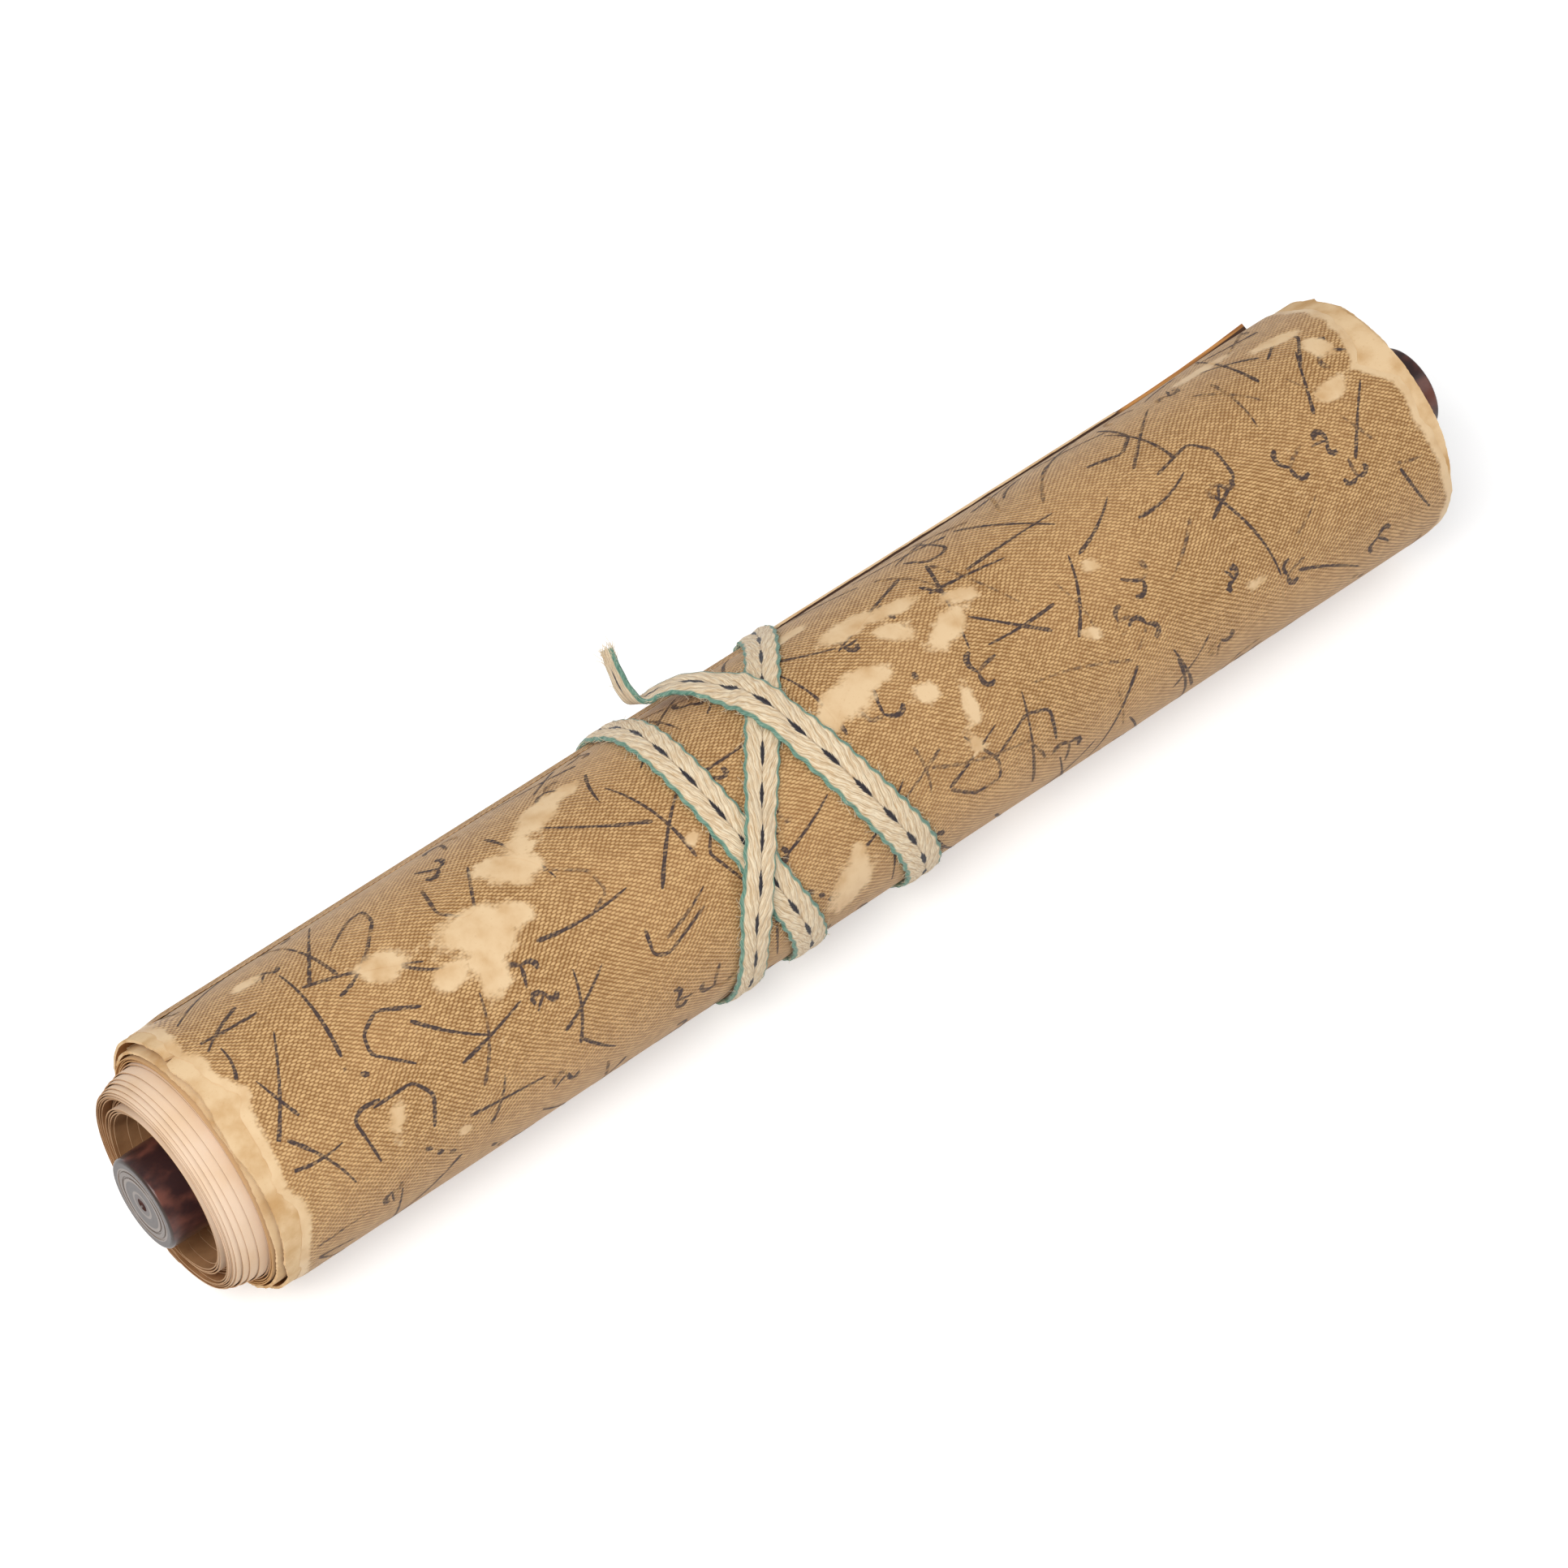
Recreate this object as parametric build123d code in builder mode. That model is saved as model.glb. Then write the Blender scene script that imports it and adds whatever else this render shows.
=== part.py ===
"""A hand scroll: a long paper strip wound on a wooden roller, with a silk cover tied by a flat cord.

The roll lies along X on the cord that ties it. The origin is under its middle, on the table.
Angles are seen from the right end: 0 is the back (+Y), 90 the top, 180 the front.
"""

import os
from math import asin, cos, degrees, hypot, radians, sin

from build123d import *

os.makedirs("parts", exist_ok=True)

# Cover: a silk strip glued to a paper lining, wound about twice round the outside
COVER_LENGTH = 282.0
ROLL_RADIUS = 26.35
SILK_THICKNESS = 0.30
LINING_THICKNESS = 0.55
GLUE_LINE = 0.03
COVER_TURN_GAP = 0.45
COVER_TURNS = 2
SILK_WORN_BACK = 5.0
WEAR_WAVE = 1.4
WEAR_SPOTS = (1, 0.85, 0.5, 0.1, -0.3, -0.65, -0.9, -1)
WEAR_OVER = (0.0, 1.0, 0.2, 1.1, 0.6, -0.4, 0.9, 0.6)
WEAR_UNDER = (0.0, -0.6, 0.4, -0.2, 0.8, 0.1, 1.0, 0.6)
BOTTOM_FLAT = 8.0

# Paper strip, wound inside the cover and slipped sideways towards the left end
PAPER_WIDTH = 284.0
PAPER_THICKNESS = 0.45
PAPER_TURN_GAP = 0.20
SEAM_ANGLE = 300.0
SEAM_CLEARANCE = 0.10
OUTER_SLIP = -0.4
RIM_SLIP = 7.4
FANNED_TURNS = 5
RIM_TURNS = 5
RECEDING_TURNS = 5

# Roller with a turned horn end on each tenon
ROLLER_RADIUS = 8.5
ROLLER_CLEARANCE = 0.10
TENON_RADIUS = 4.0
TENON_LENGTH = 8.0
TENON_CHAMFER = 0.4
SOCKET_CLEARANCE = 0.08
END_RADIUS = 9.4
END_LENGTH = 11.9
END_SEAT_CLEARANCE = 0.10
END_CROWN = 0.25
END_EDGE_RADIUS = 0.7
GROOVE_RADII = (7.1, 5.8)
GROOVE_WIDTH = 0.5
DIMPLE_RADIUS = 1.3
DIMPLE_DEPTH = 0.8

# Stave: the thin batten along the free edge of the cover, sprung up at its right end
STAVE_LENGTH = 262.0
STAVE_WIDTH = 5.0
STAVE_THICKNESS = 1.8
STAVE_ANGLE = 25.0
STAVE_CLEARANCE = 0.05
STAVE_SPRUNG_LENGTH = 36.0
STAVE_LIFT = 1.5

# Tie cord: one flat braid, three times round
CORD_WIDTH = 8.0
CORD_THICKNESS = 1.3
CORD_CLEARANCE = 0.04

# Routes of the cord, (distance along the roll, height across the view) with the viewer's
# eye square to the front of the roll, from the lower edge of the roll to the upper one
VIEW_ANGLE = 121.6
FRONT_ROUTES = (
    ((-22.5, -27.2), (-27.8, -19.2), (-31.4, -0.6), (-32.0, 14.2), (-31.0, 27.2)),
    ((-41.0, -27.2), (-38.0, -21.6), (-28.5, -4.9), (-17.7, 8.7), (-2.0, 23.9), (2.5, 27.2)),
    ((6.0, -27.2), (1.4, -21.0), (-4.7, -9.8), (-8.4, 3.7), (-10.7, 15.0), (-12.7, 24.2)),
)
BACK_ROUTES = (
    ((-22.5, -27.2), (-15.0, 0.0), (-7.0, 27.2)),
    ((-41.0, -27.2), (-36.5, 0.0), (-31.0, 27.2)),
    ((6.0, -27.2), (4.5, 0.0), (2.5, 27.2)),
)
ROUTE_OVERRUN = 4.0

# Loose end of the cord: (distance along the roll, angle, distance from the axis)
TAIL_ROUTE = ((-12.2, 66.0, 27.5), (-21.0, 30.0, 30.0), (-22.5, 32.0, 40.0))
TAIL_BEND_RADIUS = 2.6

# Worked out from the sizes above
COVER_THICKNESS = SILK_THICKNESS + GLUE_LINE + LINING_THICKNESS
COVER_PITCH = COVER_THICKNESS + COVER_TURN_GAP
PAPER_PITCH = PAPER_THICKNESS + PAPER_TURN_GAP
FLAT_HALF_ANGLE = degrees(asin(BOTTOM_FLAT / 2 / ROLL_RADIUS))
FLAT_DEPTH = (ROLL_RADIUS - COVER_PITCH / 2) * cos(radians(FLAT_HALF_ANGLE))
AXIS_HEIGHT = FLAT_DEPTH + CORD_CLEARANCE + CORD_THICKNESS
ROLL_END = PAPER_WIDTH / 2
OUTSIDE = ROLL_END + abs(RIM_SLIP) + END_LENGTH
REACH = ROLL_RADIUS + 10 * CORD_THICKNESS

END_VIEW = Plane(origin=(0, 0, AXIS_HEIGHT), x_dir=(0, 1, 0), z_dir=(1, 0, 0))
PLAN_VIEW = Plane(origin=(0, 0, AXIS_HEIGHT), x_dir=(1, 0, 0), z_dir=(0, 0, 1))
SIDE_VIEW = Plane(origin=(0, 0, AXIS_HEIGHT), x_dir=(1, 0, 0), z_dir=(0, -1, 0))
EYE = (0, cos(radians(VIEW_ANGLE)), sin(radians(VIEW_ANGLE)))
EYE_VIEW = Plane(origin=(0, 0, AXIS_HEIGHT), x_dir=(1, 0, 0), z_dir=EYE)


def polar(radius, angle, middle=0.0):
    """A point of the end view, at a radius and an angle round a middle on the Y axis."""
    return (middle + radius * cos(radians(angle)), radius * sin(radians(angle)))


def fall(angle):
    """Share of the step down to the next turn that a lower half turn has reached."""
    return (1 + cos(radians(angle))) / 2


def turn_edge(middle, radius, start, end):
    """One face of a half turn in the end view: an arc, cut flat where the roll rests."""
    flat_start = 270 - FLAT_HALF_ANGLE
    flat_end = 270 + FLAT_HALF_ANGLE
    if start < flat_start and end > flat_end:
        front_arc = CenterArc((middle, 0), radius, start, flat_start - start)
        back_arc = CenterArc((middle, 0), radius, flat_end, end - flat_end)
        Line(front_arc @ 1, back_arc @ 0)
    else:
        CenterArc((middle, 0), radius, start, end - start)


def straight_ends(back, front, at_back, at_front, width):
    """Plan outline whose ends run straight from one place at the back to one at the front."""
    slope = (at_back - at_front) / (back + front)
    left_back = at_back + slope * (REACH - back)
    left_front = at_front - slope * (REACH - front)
    with BuildSketch(PLAN_VIEW) as outline:
        with BuildLine():
            Polyline(
                (left_back, REACH),
                (left_back + width, REACH),
                (left_front + width, -REACH),
                (left_front, -REACH),
                close=True,
            )
        make_face()
    return outline.sketch


def worn_ends(waves):
    """Plan outline of the silk, whose ends are worn back from the lining in waves."""
    inset = COVER_LENGTH / 2 - SILK_WORN_BACK
    spots = [ROLL_RADIUS * share for share in WEAR_SPOTS]
    beyond = (0, REACH - ROLL_RADIUS)
    with BuildSketch(PLAN_VIEW) as outline:
        with BuildLine():
            left = Spline([(-inset + WEAR_WAVE * wave, y) for wave, y in zip(waves, spots)])
            right = Spline([(inset + WEAR_WAVE * wave, y) for wave, y in zip(waves, spots)])
            Polyline(left @ 0, left @ 0 + beyond, right @ 0 + beyond, right @ 0)
            Polyline(left @ 1, left @ 1 - beyond, right @ 1 - beyond, right @ 1)
        make_face()
    return outline.sketch


def half_turn(front, back, depth, wall, start, end, outline):
    """Half a turn of a wound sheet, cut to its outline in plan.

    front and back are the radii of its level where it passes the front and the back.
    """
    middle = (back - front) / 2
    outer = (back + front) / 2 - depth
    inner = outer - wall
    with BuildPart() as half:
        with BuildSketch(END_VIEW.offset(-OUTSIDE)):
            with BuildLine():
                turn_edge(middle, outer, start, end)
                turn_edge(middle, inner, start, end)
                Line(polar(outer, start, middle), polar(inner, start, middle))
                Line(polar(outer, end, middle), polar(inner, end, middle))
            make_face()
        extrude(amount=2 * OUTSIDE)
        add(extrude(outline, amount=REACH, both=True, mode=Mode.PRIVATE), mode=Mode.INTERSECT)
    return half.part


def fused(halves):
    """Half turns joined end to end into one wound sheet."""
    with BuildPart() as sheet:
        add(halves)
    return sheet.part


# Levels of the turns where they pass over the top, from the outside inwards
cover_levels = [ROLL_RADIUS - COVER_PITCH * turn for turn in range(COVER_TURNS + 1)]
first_paper_level = cover_levels[-1]
seam_fall = fall(SEAM_ANGLE)
seam_drop = (COVER_THICKNESS + SEAM_CLEARANCE - COVER_PITCH * (1 - seam_fall)) / seam_fall
second_paper_level = first_paper_level - max(seam_drop, PAPER_PITCH)
last_paper_level = ROLLER_RADIUS + ROLLER_CLEARANCE + PAPER_THICKNESS
turns_left = int((second_paper_level - last_paper_level) / PAPER_PITCH) - 1
slack = second_paper_level - last_paper_level - turns_left * PAPER_PITCH
cover_start = STAVE_ANGLE + degrees(
    asin((STAVE_WIDTH / 2 + STAVE_CLEARANCE) / (ROLL_RADIUS - COVER_THICKNESS))
)
cover_end = SEAM_ANGLE - degrees(SEAM_CLEARANCE / first_paper_level)
tight_turns = FANNED_TURNS + RIM_TURNS - 2
paper_levels = [first_paper_level] + [
    second_paper_level - PAPER_PITCH * turn - (slack if turn > tight_turns else 0)
    for turn in range(turns_left + 1)
]


def slip(turn):
    """How far the paper has slipped to the left after a number of turns from the outside."""
    if turn < FANNED_TURNS:
        return OUTER_SLIP + (RIM_SLIP - OUTER_SLIP) * turn / FANNED_TURNS
    receded = (turn - FANNED_TURNS - RIM_TURNS) / RECEDING_TURNS
    return RIM_SLIP * (1 - min(max(receded, 0), 1))


def wind_paper():
    """The paper strip, from its seam with the cover to its glued end on the roller."""
    seam_level = cover_levels[-2]
    left_end = -ROLL_END - OUTER_SLIP
    square = straight_ends(first_paper_level, seam_level, left_end, left_end, PAPER_WIDTH)
    halves = [
        half_turn(seam_level, first_paper_level, 0, PAPER_THICKNESS, SEAM_ANGLE, 360, square)
    ]
    for turn, level in enumerate(paper_levels):
        ends = [-ROLL_END - slip(turn + share) for share in (0, 0.5, 1)]
        over = straight_ends(level, level, ends[0], ends[1], PAPER_WIDTH)
        halves.append(half_turn(level, level, 0, PAPER_THICKNESS, 0, 180, over))
        if turn + 1 < len(paper_levels):
            below = paper_levels[turn + 1]
            under = straight_ends(below, level, ends[2], ends[1], PAPER_WIDTH)
            halves.append(half_turn(level, below, 0, PAPER_THICKNESS, 180, 360, under))
    return fused(halves)


def wind_cover(depth, wall, outlines, inner_outline):
    """One layer of the cover, from the stave to its inner end at the seam with the paper."""
    halves = []
    for turn in range(COVER_TURNS):
        level = cover_levels[turn]
        below = cover_levels[turn + 1]
        over, under = outlines if turn == 0 else (inner_outline, inner_outline)
        start = cover_start if turn == 0 else 0
        end = cover_end if turn == COVER_TURNS - 1 else 360
        halves.append(half_turn(level, level, depth, wall, start, 180, over))
        halves.append(half_turn(level, below, depth, wall, 180, end, under))
    return fused(halves)


paper_roll = wind_paper()
paper_roll.label = "paper_roll"
export_step(paper_roll, "parts/paper_roll.step")

cover_end_left = -COVER_LENGTH / 2
uncut = straight_ends(ROLL_RADIUS, ROLL_RADIUS, cover_end_left, cover_end_left, COVER_LENGTH)
cover_lining = wind_cover(SILK_THICKNESS + GLUE_LINE, LINING_THICKNESS, (uncut, uncut), uncut)
cover_lining.label = "cover_lining"
export_step(cover_lining, "parts/cover_lining.step")

silk_length = COVER_LENGTH - 2 * SILK_WORN_BACK
silk_end_left = -silk_length / 2
unworn = straight_ends(ROLL_RADIUS, ROLL_RADIUS, silk_end_left, silk_end_left, silk_length)
worn_outlines = (worn_ends(WEAR_OVER), worn_ends(WEAR_UNDER))
cover_silk = wind_cover(0, SILK_THICKNESS, worn_outlines, unworn)
cover_silk.label = "cover_silk"
export_step(cover_silk, "parts/cover_silk.step")

with BuildPart() as roller:
    with BuildSketch(END_VIEW):
        Circle(ROLLER_RADIUS)
    extrude(amount=ROLL_END, both=True)
    with BuildSketch(END_VIEW):
        Circle(TENON_RADIUS)
    extrude(amount=ROLL_END + TENON_LENGTH, both=True)
    tenon_rims = roller.edges().group_by(Axis.X)[0] + roller.edges().group_by(Axis.X)[-1]
    chamfer(tenon_rims, TENON_CHAMFER)
roller.part.label = "roller"
export_step(roller.part, "parts/roller.step")

# Roller end, turned from horn: drawn as half of its side view and spun about the roll's axis
seat = ROLL_END + END_SEAT_CLEARANCE
face = seat + END_LENGTH
socket_depth = TENON_LENGTH + SOCKET_CLEARANCE
with BuildPart() as roller_end_right:
    with BuildSketch(SIDE_VIEW) as half_section:
        with BuildLine():
            barrel = ThreePointArc(
                (seat, END_RADIUS - END_CROWN),
                (seat + END_LENGTH * 0.6, END_RADIUS),
                (face, END_RADIUS - END_CROWN / 2),
            )
            dimple = ThreePointArc(
                (face - DIMPLE_DEPTH, 0),
                (face - DIMPLE_DEPTH * 0.7, DIMPLE_RADIUS * 0.75),
                (face, DIMPLE_RADIUS),
            )
            Line(dimple @ 1, barrel @ 1)
            Polyline(
                barrel @ 0,
                (seat, TENON_RADIUS + SOCKET_CLEARANCE),
                (seat + socket_depth, TENON_RADIUS + SOCKET_CLEARANCE),
                (seat + socket_depth, 0),
                dimple @ 0,
            )
        make_face()
        fillet(half_section.vertices().sort_by_distance((face, END_RADIUS))[0], END_EDGE_RADIUS)
        with Locations([(face, radius) for radius in GROOVE_RADII]):
            Circle(GROOVE_WIDTH / 2, mode=Mode.SUBTRACT)
    revolve(axis=Axis((0, 0, AXIS_HEIGHT), (1, 0, 0)))
roller_end_right.part.label = "roller_end_right"
export_step(roller_end_right.part, "parts/roller_end_right.step")

with BuildPart() as roller_end_left:
    add(mirror(roller_end_right.part, about=Plane.YZ, mode=Mode.PRIVATE))
roller_end_left.part.label = "roller_end_left"
export_step(roller_end_left.part, "parts/roller_end_left.step")

# Stave: its side view, drawn square to the direction in which it lies on the roll
stave_base = ROLL_RADIUS - COVER_PITCH + STAVE_CLEARANCE
along_cover = (0, -sin(radians(STAVE_ANGLE)), cos(radians(STAVE_ANGLE)))
STAVE_VIEW = Plane(origin=(0, 0, AXIS_HEIGHT), x_dir=(1, 0, 0), z_dir=along_cover)
with BuildPart() as stave:
    with BuildSketch(STAVE_VIEW):
        with BuildLine():
            under = Line(
                (-STAVE_LENGTH / 2, stave_base), (STAVE_LENGTH / 2 - STAVE_SPRUNG_LENGTH, stave_base)
            )
            TangentArc(under @ 1, (STAVE_LENGTH / 2, stave_base + STAVE_LIFT), tangent=(1, 0))
            offset(side=Side.LEFT, amount=STAVE_THICKNESS, closed=True)
        make_face()
    extrude(amount=STAVE_WIDTH / 2, both=True)
stave.part.label = "stave"
export_step(stave.part, "parts/stave.step")

# The cord lies tight on the cover and over the stave, so its inner face is their outline's hull
stave_top = stave_base + STAVE_THICKNESS
stave_corners = [
    polar(hypot(stave_top, side), STAVE_ANGLE + degrees(asin(side / hypot(stave_top, side))))
    for side in (-STAVE_WIDTH / 2, STAVE_WIDTH / 2)
]
with BuildSketch(END_VIEW) as wound_outline:
    with BuildLine():
        turn_edge(0, ROLL_RADIUS, cover_start, 180)
        turn_edge(-COVER_PITCH / 2, ROLL_RADIUS - COVER_PITCH / 2, 180, 360)
        Line(*stave_corners)
    make_hull()
with BuildPart() as cord_sleeve:
    with BuildSketch(END_VIEW.offset(-COVER_LENGTH / 2)):
        offset(wound_outline.sketch_local, amount=CORD_CLEARANCE + CORD_THICKNESS)
        offset(wound_outline.sketch_local, amount=CORD_CLEARANCE, mode=Mode.SUBTRACT)
    extrude(amount=COVER_LENGTH)


def cord_pass(route, side):
    """One pass of the cord across the roll: its route, widened, cut from the sleeve."""
    with BuildPart() as strip:
        with BuildSketch(EYE_VIEW):
            with BuildLine():
                middle_line = Spline(route)
                Line(middle_line @ 0, middle_line @ 0 - (0, ROUTE_OVERRUN))
                Line(middle_line @ 1, middle_line @ 1 + (0, ROUTE_OVERRUN))
            trace(line_width=CORD_WIDTH)
        extrude(amount=side * REACH)
        add(cord_sleeve.part, mode=Mode.INTERSECT)
    return strip.part


def loose_end():
    """The end of the cord, which leaves the roll, folds and stands off it."""
    spots = [
        Vector(along, distance * cos(radians(angle)), AXIS_HEIGHT + distance * sin(radians(angle)))
        for along, angle, distance in TAIL_ROUTE
    ]
    start, fold, tip = spots
    fold_plane = Plane(origin=start, x_dir=fold - start, z_dir=(fold - start).cross(tip - fold))
    flat_spots = [fold_plane.to_local_coords(spot) for spot in spots]
    with BuildPart() as tail:
        with BuildSketch(fold_plane):
            with BuildLine():
                FilletPolyline(flat_spots, radius=TAIL_BEND_RADIUS)
            trace(line_width=CORD_THICKNESS)
        extrude(amount=CORD_WIDTH / 2, both=True)
    return tail.part


front_passes = [cord_pass(route, 1) for route in FRONT_ROUTES]
back_passes = [cord_pass(route, -1) for route in BACK_ROUTES]
tail = loose_end()
with BuildPart() as tie_cord:
    add(front_passes)
    add(back_passes)
    add(tail)
tie_cord.part.label = "tie_cord"
export_step(tie_cord.part, "parts/tie_cord.step")
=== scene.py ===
# %% [markdown]
# # A paper scroll, tied with a flat braid
# A hand scroll is one very long strip of paper, wound on a wooden roller with a turned horn end
# on each side. The last stretch of the strip is its cover: silk glued on paper, with a thin
# batten along its free edge and a flat braid that goes three times round the roll.
# The solids are already there, so every piece below is made in the same place and at the same
# size, and gets the detail that a solid can't hold: separate turns, weave, wear and threads.

# %% Load the frame
import math
from functools import partialmethod

import bpy
import mathutils
import numpy as np
from mathutils import Matrix, Vector


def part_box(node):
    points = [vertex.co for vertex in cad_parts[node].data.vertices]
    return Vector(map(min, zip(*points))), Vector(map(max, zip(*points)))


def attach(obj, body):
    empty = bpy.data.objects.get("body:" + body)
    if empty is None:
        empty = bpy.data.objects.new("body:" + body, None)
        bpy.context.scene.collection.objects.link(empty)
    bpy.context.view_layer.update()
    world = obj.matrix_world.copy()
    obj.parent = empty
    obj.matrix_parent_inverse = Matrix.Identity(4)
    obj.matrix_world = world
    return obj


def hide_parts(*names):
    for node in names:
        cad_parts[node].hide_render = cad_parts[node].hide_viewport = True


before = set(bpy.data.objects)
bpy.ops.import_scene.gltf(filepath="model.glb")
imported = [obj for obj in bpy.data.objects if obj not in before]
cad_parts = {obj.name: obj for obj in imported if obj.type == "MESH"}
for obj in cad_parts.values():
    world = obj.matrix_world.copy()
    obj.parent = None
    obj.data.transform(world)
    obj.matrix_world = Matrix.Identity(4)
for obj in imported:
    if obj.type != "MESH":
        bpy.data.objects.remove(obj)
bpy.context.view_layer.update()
print("nodes:", sorted(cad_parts))

# %% [markdown]
# ## Sizes
# The frame gives the places that matter: the roll lies along X, its ends are horn, and its axis
# is as high as the middle of a horn end. The rest are the sizes of the winding, in metres.

# %% Sizes of the winding
MM = 0.001
horn_low, horn_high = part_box("roller_end_left")
cover_low, cover_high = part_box("cover_lining")
AXIS_HEIGHT = (horn_low.z + horn_high.z) / 2
COVER_LENGTH = cover_high.x - cover_low.x
ROLL_RADIUS = 26.35 * MM
SILK_THICKNESS = 0.30 * MM
SILK_EDGE = 0.04 * MM
GLUE_LINE = 0.03 * MM
LINING_THICKNESS = 0.55 * MM
COVER_START = 30.9 / 360
COVER_END = 1 + 300 / 360
FLAT_HALF_ANGLE = math.radians(8.73)
print(f"axis {AXIS_HEIGHT / MM:.2f} mm up, cover {COVER_LENGTH / MM:.0f} mm long")

# %% [markdown]
# ## Camera
# The picture was taken from the left and from above, so the camera looks down at 51 degrees over
# the left end. Its three axes are written out, because that fixes its turn about all three.

# %% Camera
CAMERA_PLACE = Vector((-428.8, -512.1, 835.6)) * MM
CAMERA_RIGHT = (0.7715, -0.6362, 0.0)
CAMERA_UP = (0.4977, 0.6035, 0.6229)
CAMERA_BACK = (-0.3963, -0.4806, 0.7823)
CAMERA_LENS = 130.64

bpy.ops.object.select_all(action="DESELECT")
bpy.ops.object.camera_add()
camera = bpy.context.object
turn = Matrix((CAMERA_RIGHT, CAMERA_UP, CAMERA_BACK)).transposed().to_4x4()
camera.matrix_world = Matrix.Translation(CAMERA_PLACE + Vector((0, 0, AXIS_HEIGHT))) @ turn
camera.data.lens = CAMERA_LENS
camera.data.sensor_width = 36
camera.data.clip_end = 10
bpy.context.scene.camera = camera
print("camera is", round(camera.location.length, 3), "m away")

# %% [markdown]
# ## Wound sheets
# Seen from the end, a wound sheet is a spiral. Its upper half turns are half circles about the
# axis, and its lower ones are half circles about a point a little off it, which brings the sheet
# one level further in. A turn is counted from the back: a quarter is the top, a half the front.
# The roll has lain for years, so it is a little flat underneath.

# %% The spiral
def spiral(levels, turns, depth):
    """Places (y, z) round the axis, at these turns and this deep under the outer face."""
    turns = np.asarray(turns)
    count = np.clip(np.floor(turns).astype(int), 0, len(levels) - 2)
    angle = (turns - count) * 2 * np.pi
    front = levels[count]
    back = np.where(angle <= np.pi, front, levels[count + 1])
    middle = (back - front) / 2
    radius = (back + front) / 2 - depth
    off_bottom = angle - 1.5 * np.pi
    flat = np.abs(off_bottom) < FLAT_HALF_ANGLE
    flat_depth = radius * math.cos(FLAT_HALF_ANGLE)
    along_flat = flat_depth * np.tan(np.where(flat, off_bottom, 0))
    y = middle + np.where(flat, along_flat, radius * np.cos(angle))
    z = np.where(flat, -flat_depth, radius * np.sin(angle))
    return y, z


def lengths_along(points):
    """How far along a line each of its points is."""
    steps = np.linalg.norm(np.diff(points, axis=0), axis=1)
    return np.concatenate([[0], np.cumsum(steps)])


def place_along(line, lengths, spots):
    """Places on a line at these distances along it."""
    return np.stack([np.interp(spots, lengths, places) for places in line.T], axis=1)


def measured_turns(levels, start, end):
    """A list of turns along a winding, and the length of sheet wound up to each."""
    turns = np.linspace(start, end, int((end - start) * 360))
    return turns, lengths_along(np.stack(spiral(levels, turns, 0), 1))


cover_levels = ROLL_RADIUS - np.array((0, 1.33, 2.15)) * MM
cover_turns, cover_lengths = measured_turns(cover_levels, COVER_START, COVER_END)
print(f"cover strip: {cover_lengths[-1] / MM:.0f} mm round")

# %% [markdown]
# A sheet starts as a flat grid of its real length and width. Its UV map is laid out flat, so a
# weave keeps its size when the sheet is rolled up. Rows can be crowded towards the two ends,
# where the edges are worn and seen from close by.

# %% Flat grid
def flat_grid(name, columns, rows, crowding):
    """A unit grid whose UV map is its flat layout, with its rows crowded to both ends."""
    bpy.ops.object.select_all(action="DESELECT")
    bpy.ops.mesh.primitive_grid_add(x_subdivisions=columns, y_subdivisions=rows, size=1)
    piece = bpy.context.object
    piece.name = piece.data.name = name
    mesh = piece.data
    flat = np.empty(len(mesh.vertices) * 3)
    mesh.vertices.foreach_get("co", flat)
    across = flat.reshape(-1, 3)[:, 0] + 0.5
    along = flat.reshape(-1, 3)[:, 1] * 2
    along = (np.sign(along) * (1 - (1 - np.abs(along)) ** crowding) + 1) / 2
    set_layout(piece, across, along)
    return piece, across, along


def set_layout(piece, across, along):
    """Writes two numbers of each vertex into the UV map."""
    mesh = piece.data
    corner_vertex = np.empty(len(mesh.loops), dtype=int)
    mesh.loops.foreach_get("vertex_index", corner_vertex)
    layout = np.stack([across, along], axis=1)[corner_vertex]
    mesh.uv_layers[0].data.foreach_set("uv", layout.ravel())


def place_vertices(piece, places):
    """Moves the vertices of a piece to these places round the axis of the roll."""
    piece.data.vertices.foreach_set("co", (places + (0, 0, AXIS_HEIGHT)).ravel())
    piece.data.update()


def write_attribute(piece, name, values):
    """Writes one number for each vertex, which a material can read."""
    attribute = piece.data.attributes.new(name, "FLOAT", "POINT")
    attribute.data.foreach_set("value", np.ascontiguousarray(values, dtype=np.float32))


def thicken(piece, thickness, back=0, edge=0, full=None):
    """Thickens a sheet inwards, less where a vertex group ends, with slots for back and edges."""
    for _ in range(max(back, edge) + 1):
        piece.data.materials.append(None)
    solidify = piece.modifiers.new("thickness", "SOLIDIFY")
    if full:
        solidify.vertex_group = full.name
        solidify.thickness_vertex_group = SILK_EDGE / SILK_THICKNESS
    solidify.thickness = thickness
    solidify.offset = -1
    solidify.material_offset = back
    solidify.material_offset_rim = edge
    bpy.ops.object.modifier_apply(modifier=solidify.name)
    bpy.ops.object.shade_smooth_by_angle(angle=math.radians(40))


def dress(piece, *finishes):
    """Puts one finish in each slot of a piece."""
    for slot, finish in enumerate(finishes):
        piece.data.materials[slot] = finish
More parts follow.
